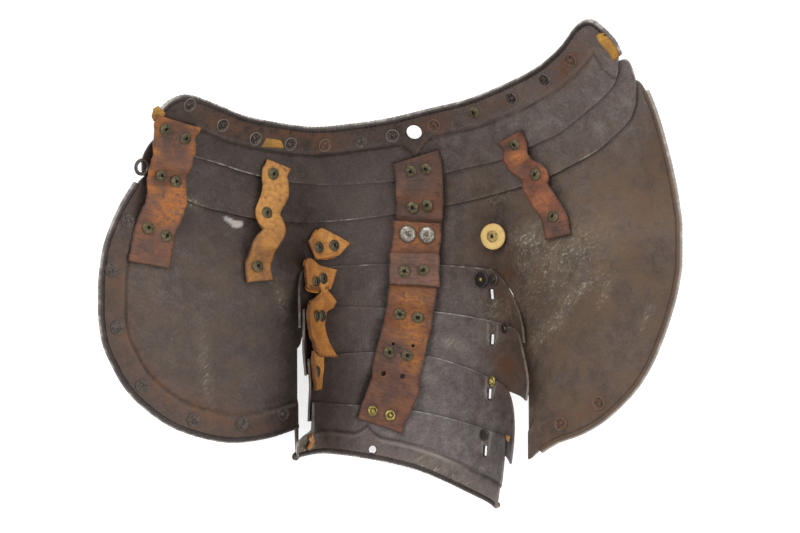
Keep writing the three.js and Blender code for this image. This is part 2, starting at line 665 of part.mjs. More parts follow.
const plates = {
  main_plate: [mainWall, roll(leftRoll), roll(rightRoll)],
  second_lame: [wall(COLLAR_CELLS.second, COLLAR_CELLS.across, STEEL, secondPlate.place)],
  neck_lame: [wall(COLLAR_CELLS.neck, COLLAR_CELLS.across, STEEL, neckPlate.place), roll(neckRoll)],
  arm_lame_1: [armWall("arm_lame_1")],
  arm_lame_2: [armWall("arm_lame_2")],
  arm_lame_3: [armWall("arm_lame_3")],
  arm_lame_4: [armWall("arm_lame_4"), roll(hemRoll)],
};

// Leathers

const strapLift = (row) => LIFT[row.on] + STEEL + LAY + row.bulge;

// A strap's table gives a wall: its middle line, and the direction across it.
function strapWall({ skin, width, rows, inTrough = false }) {
  const lifted = rows.map((row) => ({ width, ...row, lift: strapLift(row) }));
  const last = rows.length - 1;
  const scale = skin === armSkin ? radians(1) * ARM_RADIUS : 1; // mm for each unit of x
  const place = (a, b, inside) => {
    const at = a * last;
    const here = (key) => between(lifted, key, at);
    const [before, after] = [Math.max(0, at - 0.25), Math.min(last, at + 0.25)];
    const run = new THREE.Vector2(
      (between(lifted, "x", after) - between(lifted, "x", before)) * scale,
      between(lifted, "y", after) - between(lifted, "y", before),
    ).normalize();
    const narrowing = inTrough ? 1 - (here("lift") + LEATHER) / ARM_RADIUS : 1;
    const aside = (here("width") * (b - 0.5)) / narrowing;
    const [x, y] = [here("x") - (run.y / scale) * aside, here("y") + run.x * aside];
    return skin.at(x, y, here("lift") + inside);
  };
  return wall(2 * last, width === STRAP_NARROW ? 2 : 3, LEATHER, place);
}

// Rivets

const OUTER_HEAD = { radius: 3.6, height: 1.5 };
const INNER_WASHER = { radius: 3.7, height: 0.7 };
const INNER_END = { radius: 2, height: 1.6 };
const BIG_HEAD = { radius: 5.6, height: 1.8 };
const DOMED_CAP = { radius: 3.4, height: 1.2 };

// The profile of a rivet from the plate's outer face at height 0 to the inner face at `inside`.
function rivetProfile(inside, head, cap = INNER_WASHER) {
  const top = inside + GAP;
  const outer = [
    [0, -GAP - OUTER_HEAD.height],
    [0.6 * OUTER_HEAD.radius, -GAP - 0.8 * OUTER_HEAD.height],
    [OUTER_HEAD.radius, -GAP],
    [SHANK_RADIUS, -GAP],
  ];
  const flush = [
    [0, 0],
    [SHANK_RADIUS, 0],
  ];
  return [
    ...(head ? outer : flush),
    [SHANK_RADIUS, top],
    [cap.radius, top],
    [cap.radius, top + cap.height],
    [INNER_END.radius, top + cap.height + 0.2],
    [0.7 * INNER_END.radius, top + INNER_END.height],
    [0, top + INNER_END.height + 0.2],
  ];
}

const STEEL_LOOK = { color: 0x4a4340, roughness: 0.5, metalness: 0.9 };
const LEATHER_LOOK = { color: 0x8a4f2c, roughness: 0.8, metalness: 0 };
const TAN_LOOK = { color: 0xc08a45, roughness: 0.8, metalness: 0 };
const BRASS_LOOK = { color: 0x9a8148, roughness: 0.5, metalness: 0.9 };
const BRIGHT_LOOK = { color: 0xb5b2ad, roughness: 0.35, metalness: 1 };

const group = new THREE.Group();
function add(name, geometry, look) {
  const mesh = new THREE.Mesh(geometry, new THREE.MeshStandardMaterial(look));
  mesh.name = name;
  mesh.position.set(SEAT.x, SEAT.y, SEAT.z);
  group.add(mesh);
}

const joined = (geometries) => geometries.map(solidOf).reduce((whole, piece) => whole.add(piece));
const pieces = {};
for (const [name, geometries] of Object.entries(plates)) {
  pieces[name] = { solid: joined(geometries), look: STEEL_LOOK };
}
for (const [name, strap] of Object.entries(STRAPS)) {
  const look = name.includes("narrow") ? TAN_LOOK : LEATHER_LOOK;
  pieces[name] = { solid: joined([strapWall(strap)]), look };
}
const cut = (name, bar) => {
  pieces[name].solid = pieces[name].solid.subtract(bar);
};

// How far a piece reaches into the hollow within a radius of a place, from the form's face.
const REACH_SIDES = 12;
function reach(name, skin, place, radius) {
  const probe = drill(skin, place, radius, REACH_SIDES);
  const { vertProperties } = pieces[name].solid.intersect(probe).getMesh();
  const [base, up] = [skin.at(place.x, place.y, 0), skin.up(place.x, place.y)];
  let highest = 0;
  for (let i = 0; i < vertProperties.length; i += 3) {
    const point = new THREE.Vector3().fromArray(vertProperties, i);
    highest = Math.max(highest, point.sub(base).dot(up));
  }
  return highest;
}

// A rivet, and the hole for it in every piece that its shank goes through.
const RIVET_SIDES = 6;
function addRivet(name, skin, rivet, look, cap = INNER_WASHER) {
  const { x, y, plate, strap, head = false } = rivet;
  const highest = reach(strap, skin, rivet, cap.radius + GAP);
  const profile = rivetProfile(highest - LIFT[plate], head, cap);
  add(name, turned(profile, RIVET_SIDES, skin.at(x, y, LIFT[plate]), skin.up(x, y)), look);
  const depth = { from: LIFT[plate] - LAY, to: highest + LAY };
  const bar = drill(skin, rivet, RIVET_HOLE, RIVET_SIDES, depth);
  for (const piece of Object.keys(pieces)) {
    if (!pieces[piece].solid.intersect(bar).isEmpty()) cut(piece, bar);
  }
}

// The round leather is a flat disc that stands on the plate's curve.
const washerSeat = reach(WASHER.wall, planSkin, WASHER, WASHER.radius) + GAP;
pieces.leather_washer = {
  solid: drill(planSkin, WASHER, WASHER.radius, 16, { from: washerSeat, to: washerSeat + WASHER.thick }),
  look: TAN_LOOK,
};

for (const [name, rivet] of Object.entries(RIVETS)) addRivet(name, planSkin, rivet, BRASS_LOOK);
for (const [name, rivet] of Object.entries(DOMED_RIVETS)) {
  addRivet(name, planSkin, rivet, BRASS_LOOK, DOMED_CAP);
}
addRivet("washer_rivet", planSkin, WASHER_RIVET, BRASS_LOOK, DOMED_CAP);
for (const [name, rivet] of Object.entries({ ...ARM_RIVETS, ...SLIDING_RIVETS })) {
  addRivet(name, armSkin, rivet, STEEL_LOOK);
}
for (const [name, rivet] of Object.entries(BIG_RIVETS)) {
  addRivet(name, planSkin, rivet, BRIGHT_LOOK, BIG_HEAD);
}
for (const slot of SLOTS) cut(slot.lame, slotBar(slot));
cut("neck_lame", drill(planSkin, NECK_HOLE, NECK_HOLE.radius, 16));
cut("arm_lame_4", drill(planSkin, HEM_HOLE, HEM_HOLE.radius, 12));
for (const [name, { solid, look }] of Object.entries(pieces)) add(name, geometryOf(solid), look);

export default group;
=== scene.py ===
# %% [markdown]
# # A plate pauldron, hollow side up
# A pauldron is the shoulder piece of an armour. It is built of thin steel plates that lie in
# each other like a telescope. Leather straps on the inside join them, so that the shoulder can
# move. This one lies on its outside, and we look into its hollow.
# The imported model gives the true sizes. We load it first and keep its box.

import bisect
import json
import math
from types import SimpleNamespace

import bmesh
import bpy
from mathutils import Matrix, Vector, kdtree, noise

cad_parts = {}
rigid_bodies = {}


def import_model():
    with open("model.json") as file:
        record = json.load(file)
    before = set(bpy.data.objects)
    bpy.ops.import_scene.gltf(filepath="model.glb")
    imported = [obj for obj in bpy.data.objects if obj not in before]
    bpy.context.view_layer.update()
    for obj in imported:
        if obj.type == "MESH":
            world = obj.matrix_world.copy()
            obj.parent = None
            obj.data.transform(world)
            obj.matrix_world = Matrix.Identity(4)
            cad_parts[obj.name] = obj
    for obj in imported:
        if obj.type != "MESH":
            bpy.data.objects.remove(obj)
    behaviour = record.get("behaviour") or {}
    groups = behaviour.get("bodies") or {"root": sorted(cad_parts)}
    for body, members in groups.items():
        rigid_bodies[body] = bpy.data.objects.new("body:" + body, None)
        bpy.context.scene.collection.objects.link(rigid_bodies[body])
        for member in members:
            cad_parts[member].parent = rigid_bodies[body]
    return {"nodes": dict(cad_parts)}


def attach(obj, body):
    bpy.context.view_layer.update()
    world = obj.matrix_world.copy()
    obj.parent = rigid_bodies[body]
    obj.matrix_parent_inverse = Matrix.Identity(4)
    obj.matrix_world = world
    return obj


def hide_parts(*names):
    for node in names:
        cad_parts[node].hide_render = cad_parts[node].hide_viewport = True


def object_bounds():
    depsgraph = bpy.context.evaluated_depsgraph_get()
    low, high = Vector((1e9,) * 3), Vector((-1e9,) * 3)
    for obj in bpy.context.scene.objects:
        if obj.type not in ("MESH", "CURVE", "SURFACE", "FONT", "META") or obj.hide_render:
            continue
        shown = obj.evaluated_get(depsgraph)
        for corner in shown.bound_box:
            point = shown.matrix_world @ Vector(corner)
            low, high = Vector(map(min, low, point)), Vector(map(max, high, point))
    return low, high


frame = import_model()
cad_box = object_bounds()
print("nodes:", len(frame["nodes"]))

# %% [markdown]
# ## Small helpers
# A table is a short list of rows whose columns have names. `between` reads a column at any
# row number along a smooth curve through the rows, so a few rows describe a whole edge.

# %% Tables and curves
MM = 0.001


def table(names, *rows):
    return [dict(zip(names.split(), row)) for row in rows]


def mix(a, b, t):
    return a + (b - a) * t


def smooth(start, end, value):
    t = min(1, max(0, (value - start) / (end - start)))
    return t * t * (3 - 2 * t)


def bell(off, reach):
    return math.exp(-((off / reach) ** 2))


def even(count):
    return [i / count for i in range(count + 1)]


def between(rows, key, at):
    i = min(max(0, math.floor(at)), len(rows) - 2)
    t = at - i
    last = len(rows) - 1
    a, b, c, d = (rows[min(last, max(0, i + n))][key] for n in (-1, 0, 1, 2))
    bend = (2 * a - 5 * b + 4 * c - d) * t * t + (3 * b - a - 3 * c + d) * t**3
    return 0.5 * (2 * b + (c - a) * t + bend)


def runs(points):
    """How far along the path each of its points lies."""
    run = [0]
    for p, q in zip(points, points[1:]):
        run.append(run[-1] + (q - p).length)
    return run


def nearest_in(points):
    tree = kdtree.KDTree(len(points))
    for number, point in enumerate(points):
        tree.insert(point, number)
    tree.balance()
    return tree


# %% [markdown]
# ## The common form
# A smith beats every plate to one form: a trough for the arm that opens into two wings and
# rises to the neck. We write that form as a height over the plan. Each plate lies a little
# further inside it than the one it slides in. `lift` is that distance in millimetres.

# %% Sizes of the form, in millimetres
STEEL = 1.3
LEATHER = 2.2
LAY = 0.5  # air between a leather and its plate
NEST = 2.25  # from one lame to the next that lies in it
ROLL_RADIUS = 2.2
SEAT = Vector((-0.58, 1.1, 0))  # brings the middle of the whole to the origin
AXIS_ARM, AXIS_CAP, AXIS_LEAN, AXIS_EASE = 19, 6, 0.09, (-45, 20)
ARM_RADIUS, ARM_TAPER, TAPER_FROM, ARM_FLAT, REST_FLAT = 72.5, 0.05, -40, 0.9, 0.4
WING_LEAVES, WING_LEFT, WING_RIGHT, WING_EASE = 0.85, 0.5, 0.55, 18
CAP_SLOPE, CAP_ROUND, CAP_EASE = 0.8, 50, (5, 75)
NECK_FROM, NECK_RISE = 20, 0.0035
CORNER_ROUND = 0.6  # the power by which the ends of the arm lames round off
HALF_STEP = 0.5  # so the slope is read over one millimetre


def axis_at(y):
    return mix(AXIS_ARM + AXIS_LEAN * y, AXIS_CAP, smooth(*AXIS_EASE, y))


def radius_at(y):
    return ARM_RADIUS - ARM_TAPER * max(0, TAPER_FROM - y)


def arm_height(q, radius):
    inside = min(abs(q), WING_LEAVES * radius)
    depth = math.sqrt(radius * radius - inside * inside)
    beyond = abs(q) - inside
    wing = WING_LEFT if q < 0 else WING_RIGHT
    steeper = ARM_FLAT * inside / depth - wing
    eased = steeper * WING_EASE * (1 - math.exp(-beyond / WING_EASE))
    return ARM_FLAT * (radius - depth) + wing * beyond + eased


def form_height(x, y):
    q = x - axis_at(y)
    cap = CAP_SLOPE * (math.hypot(q, CAP_ROUND) - CAP_ROUND)
    rise = NECK_RISE * max(0, y - NECK_FROM) ** 2
    height = mix(arm_height(q, radius_at(y)), cap, smooth(*CAP_EASE, y)) + rise
    return max(0, height - REST_FLAT)


# %% Skins: a plan place becomes a point, and `up` leads into the hollow
def plan_up(x, y):
    slope_x = form_height(x + HALF_STEP, y) - form_height(x - HALF_STEP, y)
    slope_y = form_height(x, y + HALF_STEP) - form_height(x, y - HALF_STEP)
    return Vector((-slope_x, -slope_y, 1)).normalized()


def plan_at(x, y, lift):
    return Vector((x, y, form_height(x, y))) + plan_up(x, y) * lift


def arm_up(degrees, _y=0):
    angle = math.radians(degrees)
    return Vector((-ARM_FLAT * math.sin(angle), 0, math.cos(angle))).normalized()


# The ends of the lames leave the round section, each by a shift in x.
END_SHIFTS = table(
    "shift angle_from angle_to y_from y_to fade",
    (5, 45, 85, -40, -75, 0.0085),
    (3, -50, -85, -45, -75, 0),
    (-10, -55, -104, -98, -107, 0),
)


def end_shift(degrees, y):
    total = 0
    for row in END_SHIFTS:
        share = smooth(row["angle_from"], row["angle_to"], degrees)
        share *= smooth(row["y_from"], row["y_to"], y)
        total += row["shift"] * share * (1 - row["fade"] * max(0, row["y_to"] - y))
    return total


def arm_at(degrees, y, lift):
    angle, radius = math.radians(degrees), radius_at(y)
    height = max(0, ARM_FLAT * radius * (1 - math.cos(angle)) - REST_FLAT)
    place = Vector((axis_at(y) + radius * math.sin(angle) + end_shift(degrees, y), y, height))
    return place + arm_up(degrees) * lift


print("height of the neck's form:", round(form_height(110, 140), 1), "mm")

# %% [markdown]
# ## The outlines of the plates
# The same rows as in the model: the upper and lower edge of each plate at a few places.

# %% Rows of the plates
MAIN_ROWS = table(
    "x top shelf bottom",
    (-169.5, -9, -19, -29), (-167.5, 8, -19, -44), (-163, 23, -19, -56), (-155, 40, -20, -71),
    (-144, 54, -20, -83), (-129, 50, -21, -94), (-111, 43, -21, -101), (-94, 41, -22, -104),
    (-74, 38, -23, -102), (-57, 37, -50, -97), (-49, 38, -18, 0), (-34, 39, -16, 0),
    (-9, 43, -15, 0), (15.5, 46, -14, 0), (43.5, 51, -13, 0), (60, 55, -13.5, 0), (76, 59.5, -18, 0),
    (84.5, 62, -79, -117), (91.5, 64, -29, -111), (100.5, 68, -27, -105), (115, 75, -25, -99),
    (127.5, 87, -21, -91), (137, 104, -15, -82), (146.5, 109, -9, -71), (155, 93, -3, -56),
    (162, 71, 2, -38), (167.5, 47, 7, -19), (170.5, 26, 11, -2),
)
LEFT_WING_END, RIGHT_WING_START = 9, 17
SECOND_ROWS = table(
    "x top bottom",
    (-148, 62, 56), (-146, 68, 52), (-141, 75, 48), (-133, 80, 45), (-117, 77, 36),
    (-99, 70, 31), (-79, 64, 27), (-55, 62, 26), (-28, 63, 28), (3, 65, 32), (34, 70, 37),
    (68, 78, 44), (92, 88, 51), (112, 99, 61), (125, 111, 69), (133, 120, 76), (140, 122, 83),
    (144, 116, 88), (146.5, 107, 96),
)
NECK_ROWS = table(
    "x top bottom",
    (-141, 79, 73), (-139.5, 87.5, 72), (-136, 94, 71), (-130, 99, 69), (-121, 101, 66),
    (-105, 95.5, 61), (-91, 90, 56), (-70, 86, 51), (-48, 84, 50), (-25, 86.5, 51),
    (0, 90.5, 53), (25, 96, 56), (49, 101, 61), (73, 110, 66), (91, 119, 75), (104, 130, 81),
    (113, 142, 88), (120, 145, 94), (127, 140, 100), (133.5, 133, 107), (137, 126, 115),
)
EDGE_ANGLES = (-120, -90, -50, 0, 45, 85)
ARM_LAMES = table(
    "name layer top bottom starts ends",
    ("arm_lame_1", 1, (-4, -3, -1, 1, -2, -9), (-38, -37.5, -35, -36, -40.5, -50),
     (-60, -88), (48, 72)),
    ("arm_lame_2", 2, (-28, -26.5, -25, -27, -34, -44), (-66.5, -66, -64.5, -66, -73, -81),
     (-80, -90), (64, 88)),
    ("arm_lame_3", 3, (-58, -56.5, -54, -54, -67, -83), (-93, -93.5, -95, -100, -106.5, -119),
     (-84, -91), (60, 87)),
    ("arm_lame_4", 4, (-81, -82, -84, -88.5, -98, -106),
     (-117, -113.5, -112.5, -121, -136.5, -146), (-94, -104), (70, 82)),
)
LIFT = {"main_plate": 0, "second_lame": NEST, "neck_lame": 2 * NEST}
LIFT.update({lame["name"]: lame["layer"] * NEST for lame in ARM_LAMES})


# %% Places on the plates, at shares a (left to right) and b (lower to upper edge)
def plan_plate(rows):
    def place(a, b):
        at = a * (len(rows) - 1)
        return between(rows, "x", at), mix(between(rows, "bottom", at), between(rows, "top", at), b)

    return place


LEFT_ROWS = MAIN_ROWS[: LEFT_WING_END + 1]
RIGHT_ROWS = MAIN_ROWS[RIGHT_WING_START:]
SHELF_SHARE = 1 / 3


def main_place(a, b):
    at = a * (len(MAIN_ROWS) - 1)
    x, shelf = between(MAIN_ROWS, "x", at), between(MAIN_ROWS, "shelf", at)
    if b >= SHELF_SHARE:
        return x, mix(shelf, between(MAIN_ROWS, "top", at), (b - SHELF_SHARE) / (1 - SHELF_SHARE))
    if at <= LEFT_WING_END:
        low = between(LEFT_ROWS, "bottom", at)
    else:
        low = between(RIGHT_ROWS, "bottom", max(0, at - RIGHT_WING_START))
    return x, mix(low, shelf, b / SHELF_SHARE)


ANGLE_ROWS = [{"x": angle} for angle in EDGE_ANGLES]
FINE = [i / 100 for i in range(100 * (len(EDGE_ANGLES) - 1) + 1)]
FINE_ANGLES = [between(ANGLE_ROWS, "x", at) for at in FINE]


def edge_y(values, degrees):
    found = min(max(1, bisect.bisect(FINE_ANGLES, degrees)), len(FINE) - 1)
    low, high = FINE_ANGLES[found - 1], FINE_ANGLES[found]
    at = FINE[found - 1] + 0.01 * min(1, max(0, (degrees - low) / (high - low)))
    return between([{"y": value} for value in values], "y", at)


def arm_plate(lame):
    def place(a, b):
        down = (1 - b) ** CORNER_ROUND
        start, end = mix(*lame["starts"], down), mix(*lame["ends"], down)
        degrees = mix(start, end, a)
        return degrees, mix(edge_y(lame["bottom"], degrees), edge_y(lame["top"], degrees), b)

    return place


# %% [markdown]
# ## Materials
# The plates are wrought steel, black from the hammer and the fire on the inside and browned by
# three or four hundred years of air and hands. The outside was ground bright. The straps are
# vegetable tanned leather, dark where grease got in and orange where it is worn through. The
# rivet washers are brass gone green, the lining rivets plain iron.
# Colours are sRGB hex values, which one function turns to linear. One function adds a node.
# A material is a base colour under layers, each a tint with the share in which it shows.


# %% Colour and nodes
def srgb(text):
    parts = [int(text[i : i + 2], 16) / 255 for i in (1, 3, 5)]
    return (*[p / 12.92 if p <= 0.04045 else ((p + 0.055) / 1.055) ** 2.4 for p in parts], 1)


def add_node(tree, kind, inputs, output=0, **settings):
    """Adds a node with its settings, values and links, and returns one of its outputs."""
    made = tree.nodes.new("ShaderNode" + kind)
    for name, value in settings.items():
        setattr(made, name, value)
    for name, value in inputs.items():
        if isinstance(value, bpy.types.NodeSocket):
            tree.links.new(value, made.inputs[name])
        else:
            made.inputs[name].default_value = value
    return made.outputs[output]


def new_material(name, constants, noises=(), marks=()):
    """A material with noises, given as name, millimetres, detail and roughness, and marks."""
    material = bpy.data.materials.new(name)
    material.use_nodes = True
    tree = material.node_tree
    for key, value in constants.items():
        tree.nodes["Principled BSDF"].inputs[key].default_value = value
    maps = {"place": add_node(tree, "TexCoord", {}, "Object")}
    for key, size_mm, detail, rough in noises:
        inputs = {"Vector": maps["place"], "Scale": 1 / (size_mm * MM), "Detail": detail}
        maps[key] = add_node(tree, "TexNoise", {**inputs, "Roughness": rough})
    for key in marks:
        maps[key] = add_node(tree, "Attribute", {}, "Fac", attribute_name=key)
    return material, tree, SimpleNamespace(**maps)


def share_of(tree, value, low, high, to_low=0, to_high=1, by=None):
    """Stretches low..high of a value to a share, and weakens it by another value."""
    inputs = {"Value": value, "From Min": low, "From Max": high, "To Min": to_low, "To Max": to_high}
    share = add_node(tree, "MapRange", inputs)
    if by is None:
        return share
    return add_node(tree, "Math", {0: share, 1: by}, operation="MULTIPLY")


def finish(tree, base, layers, rough, relief, strength, depth_mm):
    """Lays tints over a base colour, each by its share, and joins all to the shader."""
    for share, tint in layers:
        base = add_node(tree, "Mix", {0: share, 6: base, 7: srgb(tint)}, 2, data_type="RGBA")
    bump = {"Height": relief, "Strength": strength, "Distance": depth_mm * MM}
    ends = {"Base Color": base, "Roughness": rough, "Normal": add_node(tree, "Bump", bump)}
    for key, value in ends.items():
        tree.links.new(value, tree.nodes["Principled BSDF"].inputs[key])


# %% [markdown]
# The inside of the plates. Its `tone` goes from soot black to grey brown, and in a few places it is
# lowered by painted shade; its `warm` goes to brown. `rust` and `pale` mark rusty and scuffed places.
# `edge` is the distance to the plate's edge, where a thin bright line shows as far as it is `lit`:
# partly steel worn bright, partly a painted highlight of the rim. `bright` is bare steel, worn
# tracks and the outside steel of the rolls, and along the crest of a sunk border partly a painted
# highlight. These marks are painted on the vertices when the plate is made.


# %% Steel, hammered and browned, and steel ground bright
SCUFF_ANGLE, SCUFF_DRAWN, GRINDING_DRAWN = -0.62, 0.11, 0.12


def steel_inside():
    noises = (("broad", 40, 3, 0.55), ("cloud", 15, 6, 0.55), ("patch", 7, 8, 0.7),
              ("nick", 6, 4, 0.55), ("speck", 2.6, 6, 0.65), ("fine", 1.3, 4, 0.7))
    marks = ("tone", "warm", "rust", "pale", "edge", "lit", "bright")
    made = new_material("steel_hammered_and_browned", {"Metallic": 0.55}, noises, marks)
    material, tree, maps = made
    tone = maps.tone
    for value, reach in ((maps.broad, 0.07), (maps.patch, 0.16), (maps.fine, 0.13)):
        swing = share_of(tree, value, 0.3, 0.7, -reach, reach)
        tone = add_node(tree, "Math", {0: tone, 1: swing}, operation="ADD")
    base = add_node(tree, "ValToRGB", {"Fac": tone})
    stops = base.node.color_ramp.elements
    stops[0].color, stops[1].color = srgb("#211c1a"), srgb("#9b948f")
    stops.new(0.35).color, stops.new(0.65).color = srgb("#48403e"), srgb("#6c6461")
    # Scuffs run down from right to left, so their noise is drawn out in that direction.
    turn = {"Vector": maps.place, "Angle": SCUFF_ANGLE}
    turned = add_node(tree, "VectorRotate", turn, rotation_type="Z_AXIS")
    drawn = add_node(tree, "Mapping", {"Vector": turned, "Scale": (SCUFF_DRAWN, 1, 1)})
    scratch = {"Vector": drawn, "Scale": 1 / (1.5 * MM), "Detail": 6, "Roughness": 0.7}
    scuff = share_of(tree, add_node(tree, "TexNoise", scratch), 0.54, 0.63, by=maps.pale)
    # The thin bright line along the edges: partly steel worn bright, partly a painted highlight of the
    # rim.
    rim = share_of(tree, maps.nick, 0.4, 0.62, 0.1, 1, maps.lit)
    rim = share_of(tree, maps.edge, 0.25, 0.9, 1, 0, rim)
    # The bright share: that line, or the `bright` mark where it is more, both partly painted
    # highlight.
    bright_share = add_node(tree, "Math", {0: rim, 1: maps.bright}, operation="MAXIMUM")
    layers = (
        (share_of(tree, maps.cloud, 0.36, 0.64, 0.35, 1, maps.warm), "#6d5743"),
        (share_of(tree, maps.speck, 0.6, 0.72, 0, 0.5), "#6f4a33"),
        (share_of(tree, maps.patch, 0.4, 0.56, by=maps.rust), "#6b452d"),
        (share_of(tree, maps.patch, 0.35, 0.6, 0.1, 0.5, maps.pale), "#8f8471"),
        (scuff, "#b3a891"), (bright_share, "#b5aea5"),
    )
    dull = share_of(tree, maps.patch, 0.3, 0.7, 0.46, 0.64)
    rough = add_node(tree, "Math", {0: bright_share, 1: -0.14, 2: dull}, operation="MULTIPLY_ADD")
    relief = add_node(tree, "Math", {0: maps.fine, 1: maps.patch}, operation="ADD")
    relief = add_node(tree, "Math", {0: relief, 1: scuff}, operation="ADD")
    finish(tree, base, layers, rough, relief, 0.3, 0.4)
    return material


def steel_outside():
    noises = (("patch", 16, 5, 0.55), ("spot", 5, 6, 0.55))
    material, tree, maps = new_material("steel_ground_bright", {"Metallic": 1.0}, noises)
    # Grinding leaves fine lines along y.
    drawn = add_node(tree, "Mapping", {"Vector": maps.place, "Scale": (1, GRINDING_DRAWN, 1)})
    lines = {"Vector": drawn, "Scale": 1 / (1.2 * MM), "Detail": 3, "Roughness": 0.55}
    grit = add_node(tree, "TexNoise", lines)
    layers = ((share_of(tree, maps.patch, 0.35, 0.7), "#8d8781"),
              (share_of(tree, maps.spot, 0.6, 0.7, 0, 0.5), "#6a5546"))
    rough = share_of(tree, grit, 0.3, 0.7, 0.24, 0.42)
    finish(tree, srgb("#b9b6b2"), layers, rough, grit, 0.15, 0.2)
    return material


INSIDE, OUTSIDE = steel_inside(), steel_outside()
FAR_FROM_EDGE = 9.0


# %% [markdown]
# Leather. The grain side is smooth with fine creases. `worn` marks where it is scuffed through
# to the orange fibres and `dark` where grease got in. `along` and `across` are millimetres on
# the leather, and `edge` is the distance to its cut edge, which is dark or frayed.


# %% Vegetable tanned leather
def leather(name, deep, middle, worn):
    noises = (("broad", 9, 5, 0.55), ("patch", 3, 6, 0.65), ("grain", 0.7, 3, 0.55))
    marks = ("worn", "dark", "along", "across", "edge")
    material, tree, maps = new_material(name, {"Specular IOR Level": 0.35}, noises, marks)
    # Old leather cracks across its length, where it has been bent to and fro.
    drawn = add_node(tree, "Math", {0: maps.across, 1: 0.16}, operation="MULTIPLY")
    bent = add_node(tree, "CombineXYZ", {"X": maps.along, "Y": drawn})
    crease = {"Vector": bent, "Scale": 0.9, "Detail": 5, "Roughness": 0.7}
    cracks = share_of(tree, add_node(tree, "TexNoise", crease), 0.53, 0.66)
    rim = share_of(tree, maps.worn, 0, 0.8, 1, 0.15)
    layers = (
        (share_of(tree, maps.broad, 0.4, 0.6), middle),
        (share_of(tree, maps.patch, 0.34, 0.58, by=maps.worn), worn),
        (share_of(tree, maps.patch, 0.34, 0.52, by=maps.dark), "#4b3a34"),
        (share_of(tree, cracks, 0, 1, 0, 0.22), "#3a261c"),
        (share_of(tree, maps.edge, 0.2, 1.4, 0.8, 0, rim), "#452b1f"),
    )
    rough = share_of(tree, maps.patch, 0.3, 0.7, 0.45, 0.75)
    half = add_node(tree, "Math", {0: maps.grain, 1: 0.5}, operation="MULTIPLY")
    relief = add_node(tree, "Math", {0: half, 1: cracks}, operation="SUBTRACT")
    finish(tree, srgb(deep), layers, rough, relief, 0.5, 0.5)
    return material


LEATHERS = {
    "strap_left_wide": leather("leather_greased_brown", "#5f453b", "#7b4f38", "#a8672f"),
    "strap_left_narrow": leather("leather_tan", "#8f6034", "#ad773a", "#c38c4a"),
    "strap_middle_upper": leather("leather_dark_brown", "#4b372f", "#644335", "#8d5b35"),
    "strap_middle_lower": leather("leather_brown", "#5d3c2f", "#754a33", "#a2662f"),
    "strap_middle_tab": leather("leather_dull_brown", "#674a3e", "#785343", "#8f5f40"),
    "strap_right_narrow": leather("leather_red_brown", "#5a392c", "#7d4b34", "#b06c3c"),
    "torn_strap": leather("leather_torn_orange", "#9d6533", "#b97a3a", "#cd954f"),
    "leather_washer": leather("leather_pale_tan", "#c09a55", "#cfae68", "#dcc083"),
    "lining": leather("leather_yellow_lining", "#8f5f25", "#b07c2c", "#c9983f"),
}


# %% [markdown]
# Brass, iron and bright steel for the rivets, and a painted black shadow for their hollow ends.


# %% Metals of the rivets, and the painted shadow in their holes
def rivet_metal(name, clean, stained, size_mm, rough, metallic=0.9):
    """`ring` marks the rim of the head, which is lighter: partly metal worn bright, partly a painted
    highlight.
    """
    noises = (("patch", size_mm, 4, 0.55), ("grit", 0.5, 2, 0.55))
    material, tree, maps = new_material(name, {"Metallic": metallic}, noises, ("ring",))
    layers = ((share_of(tree, maps.patch, 0.4, 0.6), stained),
              (share_of(tree, maps.patch, 0.35, 0.55, 0.15, 0.7, maps.ring), "#a59c90"))
    rough = share_of(tree, maps.patch, 0.3, 0.7, rough, rough + 0.2)
    finish(tree, srgb(clean), layers, rough, maps.grit, 0.3, 0.2)
    return material


BRASS = rivet_metal("brass_gone_green", "#6d6345", "#494232", 1.5, 0.5, 0.7)
BRASS_BRIGHT = rivet_metal("brass_rubbed_bright", "#b5a25e", "#6f6238", 1.4, 0.3)
IRON = rivet_metal("iron_forged_dark", "#5f564f", "#38302a", 1.2, 0.45)
WASHER_BROWN = rivet_metal("iron_browned_washer", "#68604a", "#3c352a", 1.2, 0.45, 0.7)
IRON_PLAIN = rivet_metal("iron_browned", "#5c524b", "#473d37", 1.6, 0.5, 0.6)
IRON_RUSTY = rivet_metal("iron_rusted", "#6f5140", "#46382f", 1.4, 0.5, 0.6)
TINNED = rivet_metal("steel_tinned_dull", "#9f968a", "#726a60", 1.6, 0.34, 0.85)
BLACK_IRON = rivet_metal("iron_blacked", "#2f2b29", "#1f1b19", 2.5, 0.5, 0.6)
BRASS_PALE = rivet_metal("brass_waxed", "#b3975a", "#7f6a42", 1.4, 0.5, 0.4)
# Not a metal: a painted black shadow in the hollow ends of the rivets.
HOLE_SHADOW = rivet_metal("shadow_black_iron", "#15110f", "#1d1713", 1.0, 0.7, 0.3)


# %% [markdown]
# ## Making a plate
# A grid is laid out in shares of the plate, its cells outside the plate are deleted, and each
# vertex is moved to its place on the form. A Solidify modifier gives the wall its thickness
# towards the outside, and a Boolean cuts the holes. Wear, stains, painted shade and painted
# highlights are painted on the vertices.


# %% A grid that is moved into place
def grid(lines_a, lines_b, keep=lambda a, b: True):
    """A flat net whose vertices hold their shares along and across the piece."""
    bm = bmesh.new()
    count_a, count_b = len(lines_a) - 1, len(lines_b) - 1
    bmesh.ops.create_grid(bm, x_segments=count_a, y_segments=count_b, size=0.5)
    shares = bm.verts.layers.float_vector.new("shares")
    for vertex in bm.verts:
        i, j = round((vertex.co.x + 0.5) * count_a), round((vertex.co.y + 0.5) * count_b)
        vertex[shares] = Vector((lines_a[i], lines_b[j], 0))
    gone = []
    for face in bm.faces:
        middle = sum((v[shares] for v in face.verts), Vector()) / 4
        if not keep(middle.x, middle.y):
            gone.append(face)
    bmesh.ops.delete(bm, geom=gone, context="FACES")
    return bm, shares


